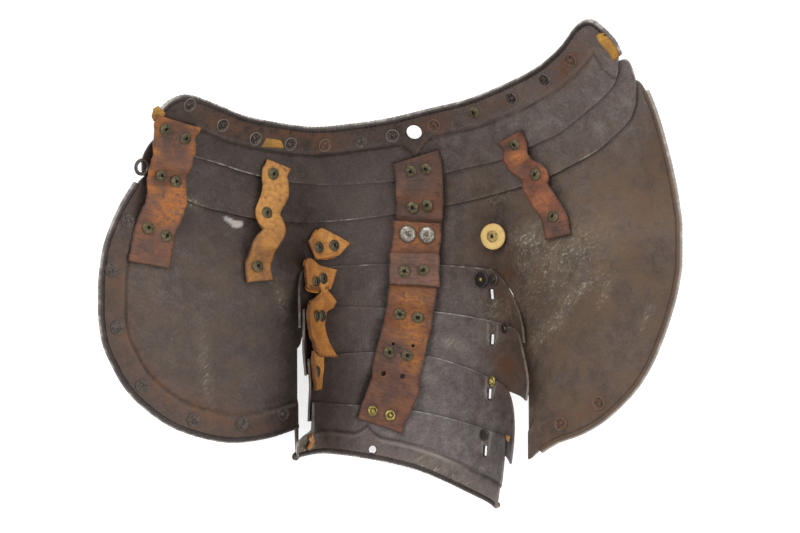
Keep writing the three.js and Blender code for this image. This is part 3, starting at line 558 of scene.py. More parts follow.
def even_lines(place, step, marks=(0, 1), count=600):
    """Shares along a plate, about `step` mm apart, that include the marks."""
    lines = []
    for start, end in zip(marks, marks[1:]):
        fine = [mix(start, end, share) for share in even(count)]
        run = runs([Vector(place(share)) for share in fine])
        cells = max(1, round(run[-1] / step))
        for i in range(cells):
            lines.append(fine[bisect.bisect_left(run, run[-1] * i / cells)])
    return lines + [marks[-1]]


def new_object(name, bm, materials=()):
    mesh = bpy.data.meshes.new(name)
    bm.to_mesh(mesh)
    bm.free()
    made = bpy.data.objects.new(name, mesh)
    bpy.context.collection.objects.link(made)
    for material in materials:
        mesh.materials.append(material)
    return made


def new_piece(name, bm, materials, slot, node=None):
    """A piece that rides on the one body, and stands for a node of the model if it has one."""
    piece = new_object(name, bm, materials)
    piece.data.shade_smooth()
    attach(piece, "root")
    if node:
        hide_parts(node)
    return piece


def paint(piece, rows):
    """Paints marks on the vertices, from a row of named values for each."""
    for name in rows[0]:
        layer = piece.data.attributes.new(name, "FLOAT", "POINT")
        layer.data.foreach_set("value", [row[name] for row in rows])


def thicken(piece, thick):
    wall = piece.modifiers.new("wall", "SOLIDIFY")
    wall.thickness, wall.offset = thick * MM, -1
    return wall


def settle(piece):
    """Applies the piece's modifiers and keeps sharp corners sharp."""
    seen = bpy.context.evaluated_depsgraph_get()
    kwargs = {"preserve_all_data_layers": True, "depsgraph": seen}
    mesh = bpy.data.meshes.new_from_object(piece.evaluated_get(seen), **kwargs)
    piece.modifiers.clear()
    piece.data = mesh
    mesh.set_sharp_from_angle(angle=math.radians(40))


def stand(bm, point, up):
    """Turns what was made round the z axis to `up`, and moves it to a point."""
    turn = Vector((0, 0, 1)).rotation_difference(up).to_matrix().to_4x4()
    bm.transform(Matrix.Translation((point + SEAT) * MM) @ turn)


# %% [markdown]
# ## Wear, stains, painted shade and painted highlights
# Each row is a soft oval patch on the plan: its middle, its half length and half width, the
# turn of its length, and how strong it is. They follow what the old surface shows.

# %% Patches of wear, stains, painted shade and painted highlights
NECK, SECOND, MAIN = "neck_lame", "second_lame", "main_plate"
L1, L2, L3, L4 = ("arm_lame_1", "arm_lame_2", "arm_lame_3", "arm_lame_4")
LINING_RIVETS = table(
    "x y plate look",
    (-118.8, 95.4, NECK, "iron"), (-100.3, 84, NECK, "iron"), (-81.4, 76.5, NECK, "iron"),
    (-60.8, 73.8, NECK, "iron"), (-40.2, 73.4, NECK, "rust"), (-18.6, 76, NECK, "plain"),
    (1.2, 79.8, NECK, "iron"), (27, 85.8, NECK, "rust"), (51, 93, NECK, "brass"),
    (73.2, 100.8, NECK, "iron"), (92.4, 111, NECK, "iron"), (107, 122, NECK, "rust"),
    (-155, 26, MAIN, "plain"), (-164, -2.5, MAIN, "plain"), (-160.5, -36.5, MAIN, "plain"),
    (-146.5, -71, MAIN, "plain"), (-117, -91.8, MAIN, "plain"), (-89, -94.4, MAIN, "plain"),
    (-65, -89.5, MAIN, "plain"), (124.5, -82, MAIN, "rust"), (102.5, -95, MAIN, "rust"),
)
PATCH = "x y long wide turn amount"
PATCHES = {
    "pale": table(
        PATCH,
        (84, 16, 11, 8, 20, 0.9), (80, 2, 5, 3, 0, 0.6), (100, -6, 36, 14, 40, 0.36),
        (103, 9, 24, 9, 38, 0.5), (114, -14, 19, 4, 45, 0.7), (96, -38, 18, 4, 45, 0.7),
        (128, -16, 12, 3, 66, 0.5), (152, -30, 9, 3, 70, 0.4), (-110, -60, 24, 3, 96, 0.4),
        (-66, -20, 14, 3, 110, 0.4), (15, -63, 14, 7, 0, 0.4), (66, 42, 9, 3, 25, 0.7),
        (30, -128, 24, 7, -20, 0.8), (-117, 37, 6, 3, -20, 1.0), (54, -92, 4, 3, 0, 0.5),
        (-53, -113, 9, 11, 0, 1.0), (65, -27, 14, 8, -30, 0.4), (62, -44, 8, 6, 0, 0.35),
        (38, -48, 12, 5, -20, 0.5), (58, -96, 7, 9, 0, 0.35),
    ),
    "rust": table(
        PATCH,
        (-155, -36, 12, 5, -75, 0.4), (-141, -62, 24, 4, -58, 0.5), (-108, -86, 30, 7, -22, 0.6),
        (-160, -8, 9, 5, 90, 0.5), (105, 118, 18, 9, 48, 0.7), (70, 99, 9, 5, 20, 0.6),
        (30, 88, 10, 5, 15, 0.5), (-100, 86, 14, 6, -10, 0.5), (-60, 80, 26, 6, 0, 0.5),
        (112, -90, 16, 5, 20, 0.5), (72, -5, 5, 4, 0, 0.9), (70, -66, 7, 14, 0, 0.6),
        (150, 30, 6, 40, -14, 0.25), (73, -27, 9, 12, 0, 0.55), (71, -60, 13, 7, -30, 0.45),
    ),
    "bare": table(
        PATCH,
        (-96, 27, 6, 2, -30, 0.8), (-91, 24.5, 4.5, 2.5, 20, 0.8),
    ),
    # `dark`: the first row is painted shade in a gap beside the bare flake; the second only darkens
    # the steel.
    "dark": table(
        PATCH,
        (-86, 25, 4, 3, 0, 1.0), (-58, 5, 9, 6, 0, 0.7),
    ),
    # `line`: where the edge lines and the crests of the borders show bright, partly worn steel, partly
    # a painted highlight.
    "line": table(
        PATCH,
        (-95, 57, 22, 7, -10, 1.0), (-28, 28, 12, 5, 5, 0.6), (45, 0, 24, 5, -5, 0.9),
        (-12, 0, 14, 4, 0, 0.5), (44, -31, 24, 6, -15, 0.9), (38, -56, 24, 6, -15, 0.8),
        (-22, -82, 5, 4, 0, 1.0), (28, -90, 28, 6, -12, 0.7), (12, -118, 30, 8, -18, 0.8),
        (-60, -70, 8, 60, 0, 0.25), (88, -70, 8, 60, 0, 0.4), (139, 113, 7, 7, 0, 1.0),
        (119, 66, 8, 3, 35, 1.0),
    ),
}
PATCHES["rust"] += [
    {"x": row["x"], "y": row["y"], "long": 7, "wide": 7, "turn": 0, "amount": 0.6}
    for row in LINING_RIVETS if row["look"] == "rust"
]


def patch_amount(rows, x, y):
    total = 0
    for row in rows:
        angle = math.radians(row["turn"])
        dx, dy = x - row["x"], y - row["y"]
        along = (dx * math.cos(angle) + dy * math.sin(angle)) / row["long"]
        across = (dy * math.cos(angle) - dx * math.sin(angle)) / row["wide"]
        total += row["amount"] * math.exp(-1.2 * (along * along + across * across))
    return min(1, total)


# Tone and warmth of the steel round a few places. The last two rows darken the steep left wall of the
# arm lames: painted shade.
TONES = table(
    "x y reach tone warm",
    (-110, -40, 60, 0.34, 0.4), (-120, 60, 40, 0.28, 0.2), (-60, 70, 40, 0.21, 0.2),
    (0, 60, 40, 0.2, 0.2), (60, 85, 40, 0.56, 0.3), (100, 100, 35, 0.7, 0.3),
    (-30, 20, 40, 0.28, 0.2), (60, 20, 35, 0.4, 0.6), (120, 0, 55, 0.41, 0.9),
    (140, -60, 40, 0.39, 0.8), (30, -20, 30, 0.4, 0.1), (30, -50, 30, 0.54, 0.1),
    (30, -90, 30, 0.58, 0.0), (10, -115, 30, 0.56, 0.1), (40, -130, 25, 0.72, 0.1),
    (-60, -40, 25, 0.14, 0.2), (-55, -80, 25, 0.16, 0.2),
)


def tone_at(x, y):
    weights = [bell(math.hypot(x - row["x"], y - row["y"]), row["reach"]) for row in TONES]
    total = sum(weights) + 1e-6
    return [sum(w * row[key] for w, row in zip(weights, TONES)) / total for key in ("tone", "warm")]


# %% [markdown]
# ## The plates
# The borders of the wings, the neck and the hem are stepped 0.9 mm into the hollow, because
# the smith sank a border into the outside. At each step the foot gets painted shade and the crest
# a painted highlight. Plates slide over each other with an even play.

# %% Build a plate
# A rivet that slides in a slot rubs a track on the lame: a line round it, and its ground.
TRACKS = table(
    "plate angle y wide line ground",
    (L2, 45, -43, 4.3, 0.4, -0.1), (L3, 50, -76, 4.3, 0.45, 0.12), (L4, 55, -110, 4.3, 0.4, 0.05),
)
BORDER_STEP, BORDER_EASE = 0.9, 1.8
# Off the step, in mm: the painted shade in its groove and the painted highlight on its crest; the
# width of these lines and of the worn tracks.
GROOVE_AT, CREST_AT, LINE_WIDE = 0.8, -1.1, 0.9
# The border on the right wing is worn almost flat, except near its upper end.
WORN_FLAT, WORN_X, KEPT_Y = 0.9, (80, 110), (95, 110)
CELL = 1.5


def track_marks(name, degrees, y):
    line = ground = 0
    for row in TRACKS:
        if row["plate"] == name:
            aside = (degrees - row["angle"]) * math.radians(ARM_RADIUS)
            off = math.hypot(aside, min(0, y - row["y"])) - row["wide"]
            line = row["line"] * bell(off, LINE_WIDE)
            ground = row["ground"] * (1 - smooth(-0.5, 0.5, off))
    return line, ground


def build_plate(name, place, lines_a, lines_b, at, up, borders=(), keep=lambda a, b: True):
    """borders: for each, the plan points of its edge, and its width at a place in x."""
    bm, shares = grid(lines_a, lines_b, keep)
    lift = LIFT[name] + STEEL
    plan = [place(v[shares].x, v[shares].y) for v in bm.verts]
    flat = [at(x, y, lift) for x, y in plan]
    rim = nearest_in([point for point, v in zip(flat, bm.verts) if v.is_boundary])
    edges = [(nearest_in([at(*p, lift) for p in points]), width) for points, width in borders]
    marks = []
    for vertex, (x, y), point in zip(bm.verts, plan, flat):
        step = groove = crest = 0
        for tree, width in edges:
            off = tree.find(point)[2] - width(point.x)
            step = max(step, 1 - smooth(-BORDER_EASE / 2, BORDER_EASE / 2, off))
            groove = max(groove, bell(off - GROOVE_AT, LINE_WIDE))
            crest = max(crest, bell(off - CREST_AT, LINE_WIDE))
        sunk = 1 - WORN_FLAT * smooth(*WORN_X, point.x) * (1 - smooth(*KEPT_Y, point.y))
        step, groove, crest = step * sunk, groove * sunk, crest * sunk
        vertex.co = (point + up(x, y) * BORDER_STEP * step + SEAT) * MM
        tone, warm = tone_at(point.x, point.y)
        line, ground = track_marks(name, x, y)
        found = {kind: patch_amount(rows, point.x, point.y) for kind, rows in PATCHES.items()}
        lit = 0.1 + 0.9 * found["line"]
        # The foot of each border step is darkened: painted shade, partly dirt in the groove. The whole
        # border is a little darker, and so are the `dark` patches.
        dark = 0.32 * groove + 0.05 * step + 0.4 * found["dark"]
        # Worn tracks round the slots, along each border's crest a painted highlight that is partly
        # steel worn bright, and bare flakes.
        bright = line + 0.6 * crest * lit + smooth(0.35, 0.6, found["bare"])
        marks.append({
            "edge": rim.find(point)[2], "lit": lit, "bright": min(1, bright), "warm": warm,
            "tone": tone - dark + ground, "pale": found["pale"],
            "rust": min(1, found["rust"] + 0.16 * step),
        })
    piece = new_piece(name + "_steel", bm, (INSIDE, OUTSIDE), "plate_steel", name)
    paint(piece, marks)
    wall = thicken(piece, STEEL)
    wall.material_offset, wall.material_offset_rim = 1, 0
    return piece


BAR_LENGTH = 16


def cut_hole(piece, at, up, radius=0, slot=None):
    """Cuts a round hole, or a slot of the given width and length, through the piece."""
    bm = bmesh.new()
    if slot:
        bmesh.ops.create_cube(bm, size=1)
        bmesh.ops.scale(bm, verts=bm.verts, vec=Vector((*slot, BAR_LENGTH)) * MM)
        upright = [e for e in bm.edges if e.calc_length() > BAR_LENGTH * MM * 0.9]
        corners = {"offset": 0.5 * MM, "segments": 3, "profile": 0.5, "material": -1}
        bmesh.ops.bevel(bm, geom=upright, affect="EDGES", **corners)
    else:
        sizes = {"radius1": radius * MM, "radius2": radius * MM, "depth": BAR_LENGTH * MM}
        bmesh.ops.create_cone(bm, cap_ends=True, segments=32, **sizes)
    stand(bm, at, up)
    bar = new_object("bar", bm)
    cut = piece.modifiers.new("cut", "BOOLEAN")
    cut.operation, cut.solver, cut.object = "DIFFERENCE", "EXACT", bar
    settle(piece)
    bpy.data.objects.remove(bar)


def edge_points(place, start, end, b, count=400):
    return [place(mix(start, end, share), b) for share in even(count)]


# %% The main plate with its two wings
last_main = len(MAIN_ROWS) - 1
wing_marks = (0, LEFT_WING_END / last_main, RIGHT_WING_START / last_main, 1)
LEFT_FREE, RIGHT_FREE = wing_marks[1], (RIGHT_WING_START + 1) / last_main
SPREAD = 0.3  # how much the slopes of the outline count when the columns are spaced


def main_line(share):
    top, bottom = between(MAIN_ROWS, "top", share * last_main), main_place(share, 0)[1]
    return between(MAIN_ROWS, "x", share * last_main), SPREAD * top, SPREAD * bottom


def wing_edge(inner, tip, top_end):
    """The free edge of a wing: out along its foot, up its tip and some way along its top."""
    points = edge_points(main_place, inner, tip, 0)
    points += [main_place(tip, share) for share in even(60)[1:]]
    return points + edge_points(main_place, tip, top_end, 1, 100)[1:]


main_a = even_lines(main_line, CELL, wing_marks)
main_b = [SHELF_SHARE * share for share in even(45)[:-1]]
main_b += [mix(SHELF_SHARE, 1, share) for share in even(60)]
main_plate = build_plate(
    "main_plate", main_place, main_a, main_b, plan_at, plan_up,
    borders=((wing_edge(LEFT_FREE, 0, 4.2 / last_main), lambda x: 14.5),
             (wing_edge(RIGHT_FREE, 1, 1 - 4 / last_main), lambda x: 15)),
    keep=lambda a, b: b > SHELF_SHARE or not wing_marks[1] < a < wing_marks[2],
)
print("main plate:", len(main_plate.data.polygons), "cells")

# %% The two lames over the collar bone
NECK_HOLE = {"x": 15.5, "y": 84, "lift": 5, "radius": 4.7}
HEM_HOLE = {"x": -14, "y": -112.5, "lift": 4 * NEST, "radius": 2.5}
second_place, neck_place = plan_plate(SECOND_ROWS), plan_plate(NECK_ROWS)


def plan_line(place):
    return lambda share: (place(share, 1)[0], 0.4 * place(share, 1)[1], 0.4 * place(share, 0)[1])


def cusped(width, hole, rise, reach):
    """A border that swings out to a point at a lacing hole."""
    def border(x):
        return width + rise * max(0, 1 - abs(x - hole["x"]) / reach) ** 2

    return border


rows_b = even(26)
second_a, neck_a = (even_lines(plan_line(place), CELL) for place in (second_place, neck_place))
second_lame = build_plate("second_lame", second_place, second_a, rows_b, plan_at, plan_up)
neck_border = (edge_points(neck_place, 0.03, 1, 1), cusped(15.5, NECK_HOLE, 11, 12))
neck_lame = build_plate("neck_lame", neck_place, neck_a, rows_b, plan_at, plan_up, (neck_border,))

# %% The four lames round the arm, with the slots in which their rivets slide
SLOT_SIZE = (3, 6)
SLOTS = table("lame angle y", (L1, 45, -17.5), (L2, 45, -45), (L3, 50, -78), (L4, 55, -112.5))
MM_PER_DEGREE = 1.26
arm_places = {lame["name"]: arm_plate(lame) for lame in ARM_LAMES}


def arm_line(place):
    return lambda share: (place(share, 0.5)[0] * MM_PER_DEGREE, place(share, 0.5)[1], 0)


arm_lames = {}
for name, place in arm_places.items():
    hem = ((edge_points(place, 0, 1, 0), cusped(11.5, HEM_HOLE, 6, 10)),) if name == L4 else ()
    lines = even_lines(arm_line(place), CELL * 0.9)
    arm_lames[name] = build_plate(name, place, lines, rows_b, arm_at, arm_up, hem)
for piece in (main_plate, second_lame, neck_lame, *arm_lames.values()):
    settle(piece)
for slot in SLOTS:
    middle = arm_at(slot["angle"], slot["y"], LIFT[slot["lame"]])
    cut_hole(arm_lames[slot["lame"]], middle, arm_up(slot["angle"]), slot=SLOT_SIZE)
for piece, hole in ((neck_lame, NECK_HOLE), (arm_lames[L4], HEM_HOLE)):
    middle = plan_at(hole["x"], hole["y"], hole["lift"])
    cut_hole(piece, middle, plan_up(hole["x"], hole["y"]), hole["radius"])
print("arm lames:", {name: len(piece.data.polygons) for name, piece in arm_lames.items()})

# %% [markdown]
# ## Rolled edges
# The free edges are turned outwards over a wire, which stiffens the plate and is kind to the
# wearer. Where they are roped, a file has cut slanting notches in the roll. A grid is wrapped
# round the edge, and its radius follows the twist.


# %% A roll along an edge
def even_path(points, step):
    """The same path with even steps, smoothed a little."""
    run = runs(points)
    path = []
    for share in even(round(run[-1] / step)):
        want = run[-1] * share
        n = min(max(1, bisect.bisect_left(run, want)), len(points) - 1)
        part = (want - run[n - 1]) / max(1e-9, run[n] - run[n - 1])
        path.append(points[n - 1].lerp(points[n], part))
    for _ in range(3):
        inner = [(a + 2 * b + c) / 4 for a, b, c in zip(path, path[1:], path[2:])]
        path = [path[0], *inner, path[-1]]
    return path


ROLL_STEP, ROLL_SIDES = 0.8, 12
NOTCH_STARTS, NOTCH_PITCH = 3, 2.72  # the notches wind round in three threads


def roll(name, places, at, up, lift, node, notch, outward, shade=0.25, warm=0.1, least=0.25):
    """notch: its depth as a share of the radius. least: how bright the roll is at least."""
    middle = [at(*place, lift + STEEL / 2) for place in places]
    path = even_path(middle, ROLL_STEP)
    tree, last = nearest_in(middle), len(path) - 1
    bm, shares = grid(even(last), even(ROLL_SIDES))
    marks = []
    for vertex in bm.verts:
        i = round(vertex[shares].x * last)
        tangent = (path[min(i + 1, last)] - path[max(i - 1, 0)]).normalized()
        high = up(*places[tree.find(path[i])[1]])
        aside = tangent.cross(high).normalized() * outward
        angle = 2 * math.pi * vertex[shares].y * -outward
        twist = math.cos(NOTCH_STARTS * angle - 2 * math.pi * i * ROLL_STEP / NOTCH_PITCH)
        radius = ROLL_RADIUS * (1 - notch * (0.5 + 0.5 * twist) ** 3)
        off = high * math.cos(angle) + aside * math.sin(angle)
        vertex.co = (path[i] + off * radius + SEAT) * MM
        bright_share = 0.5 + noise.noise(path[i] / 4) + 0.5 * noise.noise(path[i])
        bright = smooth(0.5, 1, math.sin(angle)) * min(1, max(least, bright_share))
        tone = 0.38 - shade * (1 - smooth(-0.2, 0.8, math.sin(angle)))
        marks.append({"bright": bright, "tone": tone, "edge": FAR_FROM_EDGE, "warm": warm})
    piece = new_piece(name, bm, (INSIDE,), "plate_steel", node)
    paint(piece, marks)
    # The net is closed into a tube with two ends.
    bm = bmesh.new()
    bm.from_mesh(piece.data)
    bmesh.ops.remove_doubles(bm, verts=bm.verts, dist=1e-6)
    bmesh.ops.holes_fill(bm, edges=[e for e in bm.edges if e.is_boundary], sides=0)
    bmesh.ops.recalc_face_normals(bm, faces=bm.faces)
    bm.to_mesh(piece.data)
    bm.free()
    return piece


left_path = wing_edge(LEFT_FREE, 0, 3.5 / last_main)
right_path = wing_edge(RIGHT_FREE, 1, 1 - 3.5 / last_main)
neck_path = edge_points(neck_place, 1 / (len(NECK_ROWS) - 1), 1, 1)
hem_path = edge_points(arm_places[L4], 0.02, 0.98, 0)
rolls = [
    roll("left_wing_roll", left_path, plan_at, plan_up, 0, "main_plate", 0.06, -1),
    roll("right_wing_roll", right_path, plan_at, plan_up, 0, "main_plate", 0.1, 1, 0.02, 0.9, 0.6),
    roll("neck_roll", neck_path, plan_at, plan_up, 2 * NEST, "neck_lame", 0.2, -1),
    roll("hem_roll", hem_path, arm_at, arm_up, 4 * NEST, "arm_lame_4", 0.2, 1),
]
print("rolls:", [piece.name for piece in rolls])

# %% [markdown]
# ## The straps
# Leather straps are riveted to each plate and bulge between the rivets where the plates have
# slid together. Each is a fine sheet along the same middle line as in the model, with worn
# edges, a wavy cut and a slight cup across its width.

# %% Rows of the straps
UNDER_LAP = LEATHER + 0.3
COLUMNS = "x y on bulge width"
STRAPS = {
    "strap_left_wide": table(
        COLUMNS, (-129.5, 88.5, NECK, 2.8, 24.5), (-131.5, 81, NECK, 0.5, 24.5),
        (-132.5, 71, NECK, 1.2, 24), (-135, 60, SECOND, 4.5, 22.5), (-136, 51.5, SECOND, 0.3, 22),
        (-136, 43, MAIN, 5, 22.5), (-138, 32, MAIN, 4.5, 24), (-140.5, 20, MAIN, 0, 23.5),
        (-142.5, 8, MAIN, 0.2, 24), (-144, 0, MAIN, 0.6, 24),
    ),
    "strap_left_narrow": table(
        COLUMNS, (-71.5, 62, NECK, 0.5, 15), (-74, 55, NECK, 0, 15), (-74.5, 43, SECOND, 3.5, 15),
        (-77, 30.5, SECOND, 0.2, 14), (-75.5, 19.5, MAIN, 6.5, 12.5), (-80.5, 11, MAIN, 7, 13.5),
        (-81, 4, MAIN, 2.5, 15), (-81, -1, MAIN, 0, 15), (-80, -10, MAIN, 0.5, 15),
    ),
    "strap_middle_upper": table(
        COLUMNS, (16.5, 69, NECK, 0.5, 28.5), (18.5, 60.5, NECK, 0, 28.5),
        (19.5, 46, SECOND, 3.5, 28.5), (19, 36, SECOND, 0.2, 28.5), (18.5, 30.5, MAIN, 2.4, 28.5),
        (18, 25.5, MAIN, 0.4, 28.5), (17.5, 17, MAIN, 0.2, 28.5), (17, 9, MAIN, 0.2, 28.5),
    ),
    "strap_middle_lower": table(
        COLUMNS, (17.7, 27, MAIN, UNDER_LAP + 1.7, 28.5), (17.5, 22, MAIN, UNDER_LAP + 0.4, 28.5),
        (17.3, 17, MAIN, UNDER_LAP, 28.5), (16.5, 11, MAIN, UNDER_LAP, 28.5),
        (15.5, 4, MAIN, 2.4, 28.5), (15, -3, L1, 0.2, 28.5), (14.5, -12, L1, 2, 28.5),
        (13, -21, L2, 3.5, 28.5), (11, -31, L2, 0, 28.5), (8.5, -41, L3, 2.6, 28.5),
        (6, -49, L3, 1.8, 28.5), (4.3, -55, L3, 0.2, 28.5), (2, -64, L3, 0.6, 28.5),
        (0, -74, L4, 2.2, 28.5), (-3.3, -82, L4, 2, 28.5), (-6.7, -90, L4, 0, 28.5),
        (-9.2, -98, L4, 0.4, 28.5),
    ),
    "strap_middle_tab": table(
        COLUMNS, (15.8, 8, MAIN, 2 * UNDER_LAP + 0.5, 30), (15.8, 2, MAIN, 2 * UNDER_LAP, 30),
        (15.5, -3, MAIN, 2 * UNDER_LAP - 0.3, 30), (15.3, -12, L1, UNDER_LAP + 2.7, 30),
    ),
    "strap_right_narrow": table(
        COLUMNS, (76, 80.5, NECK, 0.5, 15), (79.5, 73.5, NECK, 0, 15), (81.5, 66, NECK, 2, 15),
        (85, 60, SECOND, 3, 15), (91, 54, SECOND, 0.2, 15), (92, 46, MAIN, 4.5, 15),
        (96.5, 38, MAIN, 4, 15), (100, 29, MAIN, 0, 15), (103, 16.5, MAIN, 1, 15),
    ),
}
# The torn straps have no even width. Each row is a pair of places on the left and right edge,
# as they are seen from above, and the bulge there.
PAIRS = "x_left y_left x_right y_right on bulge"
TORN_STRAPS = {
    "torn_strap_top": table(
        PAIRS, (-42.5, 23, -41.3, 23, MAIN, 1.2), (-46.8, 19.2, -33.7, 19.2, MAIN, 0.6),
        (-49.3, 15.5, -26.9, 15.4, MAIN, 0.5), (-48.7, 13.1, -23.9, 13.7, MAIN, 0.3),
        (-47.1, 8.6, -28.8, 8.6, MAIN, 0), (-45.9, 5.5, -30.9, 6.1, MAIN, 0.3),
        (-43.7, 3.4, -37.9, 4.9, MAIN, 0.8),
    ),
    "torn_strap_middle": table(
        PAIRS, (-49.5, 4.6, -47.4, 4.6, L1, 2.4), (-51.1, 1.2, -43.2, 0.3, L1, 1.6),
        (-50.6, -3, -31.8, -2.6, L1, 1), (-50.1, -8.5, -33.8, -8.5, L1, 0.6),
        (-49.7, -13.8, -35.9, -14.2, L1, 1.5), (-41.6, -15, -38, -14.9, L1, 3),
        (-42.6, -17.6, -35, -18.2, L1, 4), (-47.1, -21.7, -32.2, -22, L1, 4.5),
        (-48.1, -25.5, -33.8, -25.8, L2, 1.8), (-48.4, -28.5, -37.9, -27.6, L2, 0.4),
        (-48.7, -35.8, -39.3, -35.8, L2, 0.6), (-48.3, -40.7, -38.4, -40.4, L2, 1.4),
        (-46.8, -46.4, -36.5, -46.4, L3, 1.5), (-41.7, -55, -30.8, -56.1, L3, 3),
    ),
    "torn_strap_bottom": table(
        PAIRS, (-47.3, -51.2, -39, -52.4, L3, 1.5), (-47.1, -58.4, -39.4, -58.4, L3, 0),
        (-47.6, -66.8, -40.3, -66.8, L3, 0), (-47.9, -75.3, -41, -75.3, L3, 0.8),
    ),
}
# Scraps of the leather lining, and a half ring of leather at the flared corner of the hem
SCRAPS = {
    "lining_scrap_neck": table(
        PAIRS, (-73.5, 76.2, -64.5, 74.8, NECK, 0), (-75, 73.5, -64, 72.5, NECK, 0),
        (-76.5, 70.8, -63.4, 70.2, NECK, 0),
    ),
    "lining_scrap_left": table(
        PAIRS, (-137.7, 91.5, -134.8, 93, NECK, 0.3), (-138.9, 86.5, -131.2, 89, NECK, 1),
        (-137.7, 84, -132.4, 85.5, NECK, 1),
    ),
    "lining_scrap_right": table(
        PAIRS, (119.5, 133.5, 123.6, 135.8, NECK, 0), (122.4, 128.7, 128.3, 130.5, NECK, 0.2),
        (127.1, 124, 131.8, 126.4, NECK, 0), (130.1, 118.8, 134, 121.7, NECK, 0),
    ),
    "lining_scrap_hem": table(
        PAIRS, (68.2, -101.9, 73.4, -102.5, L4, 0), (68.5, -105.2, 72.7, -105.8, L4, 0),
    ),
    "half_ring_hem": table(
        PAIRS, (-51, -99.5, -50.5, -101.5, L4, 0.3), (-47.8, -100.5, -49, -102.5, L4, 0),
        (-45.6, -103, -47.7, -104, L4, 0), (-45, -106, -47, -106, L4, 0),
        (-45.8, -108.5, -47.8, -108, L4, 0), (-47.5, -111, -49, -109.5, L4, 0.3),
    ),
}
# Where the grain is scuffed through, and where grease made it dark
SPOTS = "along across reach amount"
WEAR = {
    "strap_left_wide": {
        "worn": table(
            SPOTS,
            (0, 0.05, 7, 1.4), (0.12, 0.02, 4, 1.2), (0.27, 0.02, 4, 1.2), (0.4, 0.02, 4, 1.2),
            (0.52, 0.06, 5, 1), (0.02, 0.95, 6, 1.2), (0.2, 0.97, 5, 1), (0.58, 0.75, 10, 1.3),
            (0.68, 0.6, 7, 1.2), (0.36, 0.5, 6, 0.5),
        ),
        "dark": table(
            SPOTS,
            (0.12, 0.4, 9, 0.7), (0.9, 0.5, 16, 0.45), (0.24, 0.5, 10, 0.4),
            (0.46, 0.45, 7, 0.5),
        ),
    },
    "strap_left_narrow": {
        "worn": table(SPOTS, (0.05, 0.5, 12, 0.9), (0.3, 0.4, 12, 0.8), (0.45, 0.3, 12, 0.5)),
        "dark": table(SPOTS, (0.92, 0.5, 9, 0.4), (0.75, 0.4, 9, 0.3)),
    },
    "strap_middle_upper": {
        "worn": table(SPOTS, (0.36, 0.6, 8, 0.9), (0.3, 0.02, 4, 0.9), (0.02, 0.5, 3, 0.5)),
        "dark": table(SPOTS, (0.08, 0.4, 10, 0.8), (0.22, 0.5, 8, 0.6), (0.56, 0.5, 9, 0.9)),
    },
    "strap_middle_lower": {
        "worn": table(
            SPOTS,
            (0.1, 0.5, 11, 1), (0.3, 0.2, 7, 0.8), (0.42, 0.5, 9, 1), (0.57, 0.6, 9, 1.2),
            (0.7, 0.75, 7, 1), (1.0, 0.5, 3, 0.7),
        ),
        "dark": table(
            SPOTS,
            (0.35, 0.5, 8, 0.7), (0.64, 0.5, 6, 1.2), (0.69, 0.3, 7, 0.9), (0.78, 0.5, 9, 0.6),
            (0.92, 0.3, 10, 0.6),
        ),
    },
    "strap_middle_tab": {
        "worn": table(SPOTS, (0.1, 0.1, 6, 0.5), (0.9, 0.95, 5, 0.6)),
        "dark": table(SPOTS, (0.5, 0.35, 10, 0.6)),
    },
    "strap_right_narrow": {
        "worn": table(SPOTS, (0.25, 0.6, 6, 1.3), (0.5, 0.9, 4, 0.7), (0.75, 0.4, 7, 0.5)),
        "dark": table(SPOTS, (0.08, 0.2, 6, 0.8), (0.95, 0.5, 7, 0.8), (0.4, 0.3, 5, 0.6)),
    },
    "torn": {
        "worn": table(SPOTS, (0.3, 0.6, 12, 0.8)),
        "dark": table(SPOTS, (0.5, 0.2, 5, 0.5)),
    },
}


# %% Build a strap
NUDGE = 0.25  # part of a row over which the strap's direction is read
STEEPEST = 84  # degrees; nothing is laid steeper than this on the wall of the arm
TROUGH_STRAPS = ("strap_middle_upper", "strap_middle_lower", "strap_middle_tab")


def strap_place(name, rows):
    """Gives the place on the plan, and the lift, for shares along and across a strap."""
    lifted = [{**row, "lift": LIFT[row["on"]] + STEEL + LAY + row["bulge"]} for row in rows]
    last = len(rows) - 1

    def place(a, b):
        before, after = max(0, a * last - NUDGE), min(last, a * last + NUDGE)
        run = [between(lifted, key, after) - between(lifted, key, before) for key in ("x", "y")]
        run = Vector(run).normalized()
        x, y, lift, width = (between(lifted, key, a * last) for key in ("x", "y", "lift", "width"))
        aside = width * (b - 0.5)
        if name in TROUGH_STRAPS:
            aside /= 1 - (lift + LEATHER) / ARM_RADIUS
        return x - run.y * aside, y + run.x * aside, lift

    return place


def seen_at(at, x, y, lift):
    """The skin's own numbers for a place that is seen from above at x, y."""
    if at is plan_at:
        own = Vector((x, y))
        for _ in range(8):
            own += Vector((x, y)) - at(*own, lift).to_2d()
        return own
    low, high = -STEEPEST, STEEPEST
    for _ in range(20):
        degrees = (low + high) / 2
        low, high = (degrees, high) if at(degrees, y, lift).x < x else (low, degrees)
    return Vector((degrees, y))


def torn_place(rows, at):
    """The same for a torn leather, whose edges run straight from row to row."""
    last = len(rows) - 1

    def place(a, b):
        i = min(math.floor(a * last), last - 1)
        t = a * last - i
        row, after = rows[i], rows[i + 1]
        lifts = [LIFT[r["on"]] + STEEL + LAY + r["bulge"] for r in (row, after)]
        lift = mix(*lifts, smooth(0, 1, t))
        left = [mix(row[key], after[key], t) for key in ("x_left", "y_left")]
        right = [mix(row[key], after[key], t) for key in ("x_right", "y_right")]
        own = seen_at(at, *left, lift + LEATHER).lerp(seen_at(at, *right, lift + LEATHER), b)
        return *own, lift

    return place


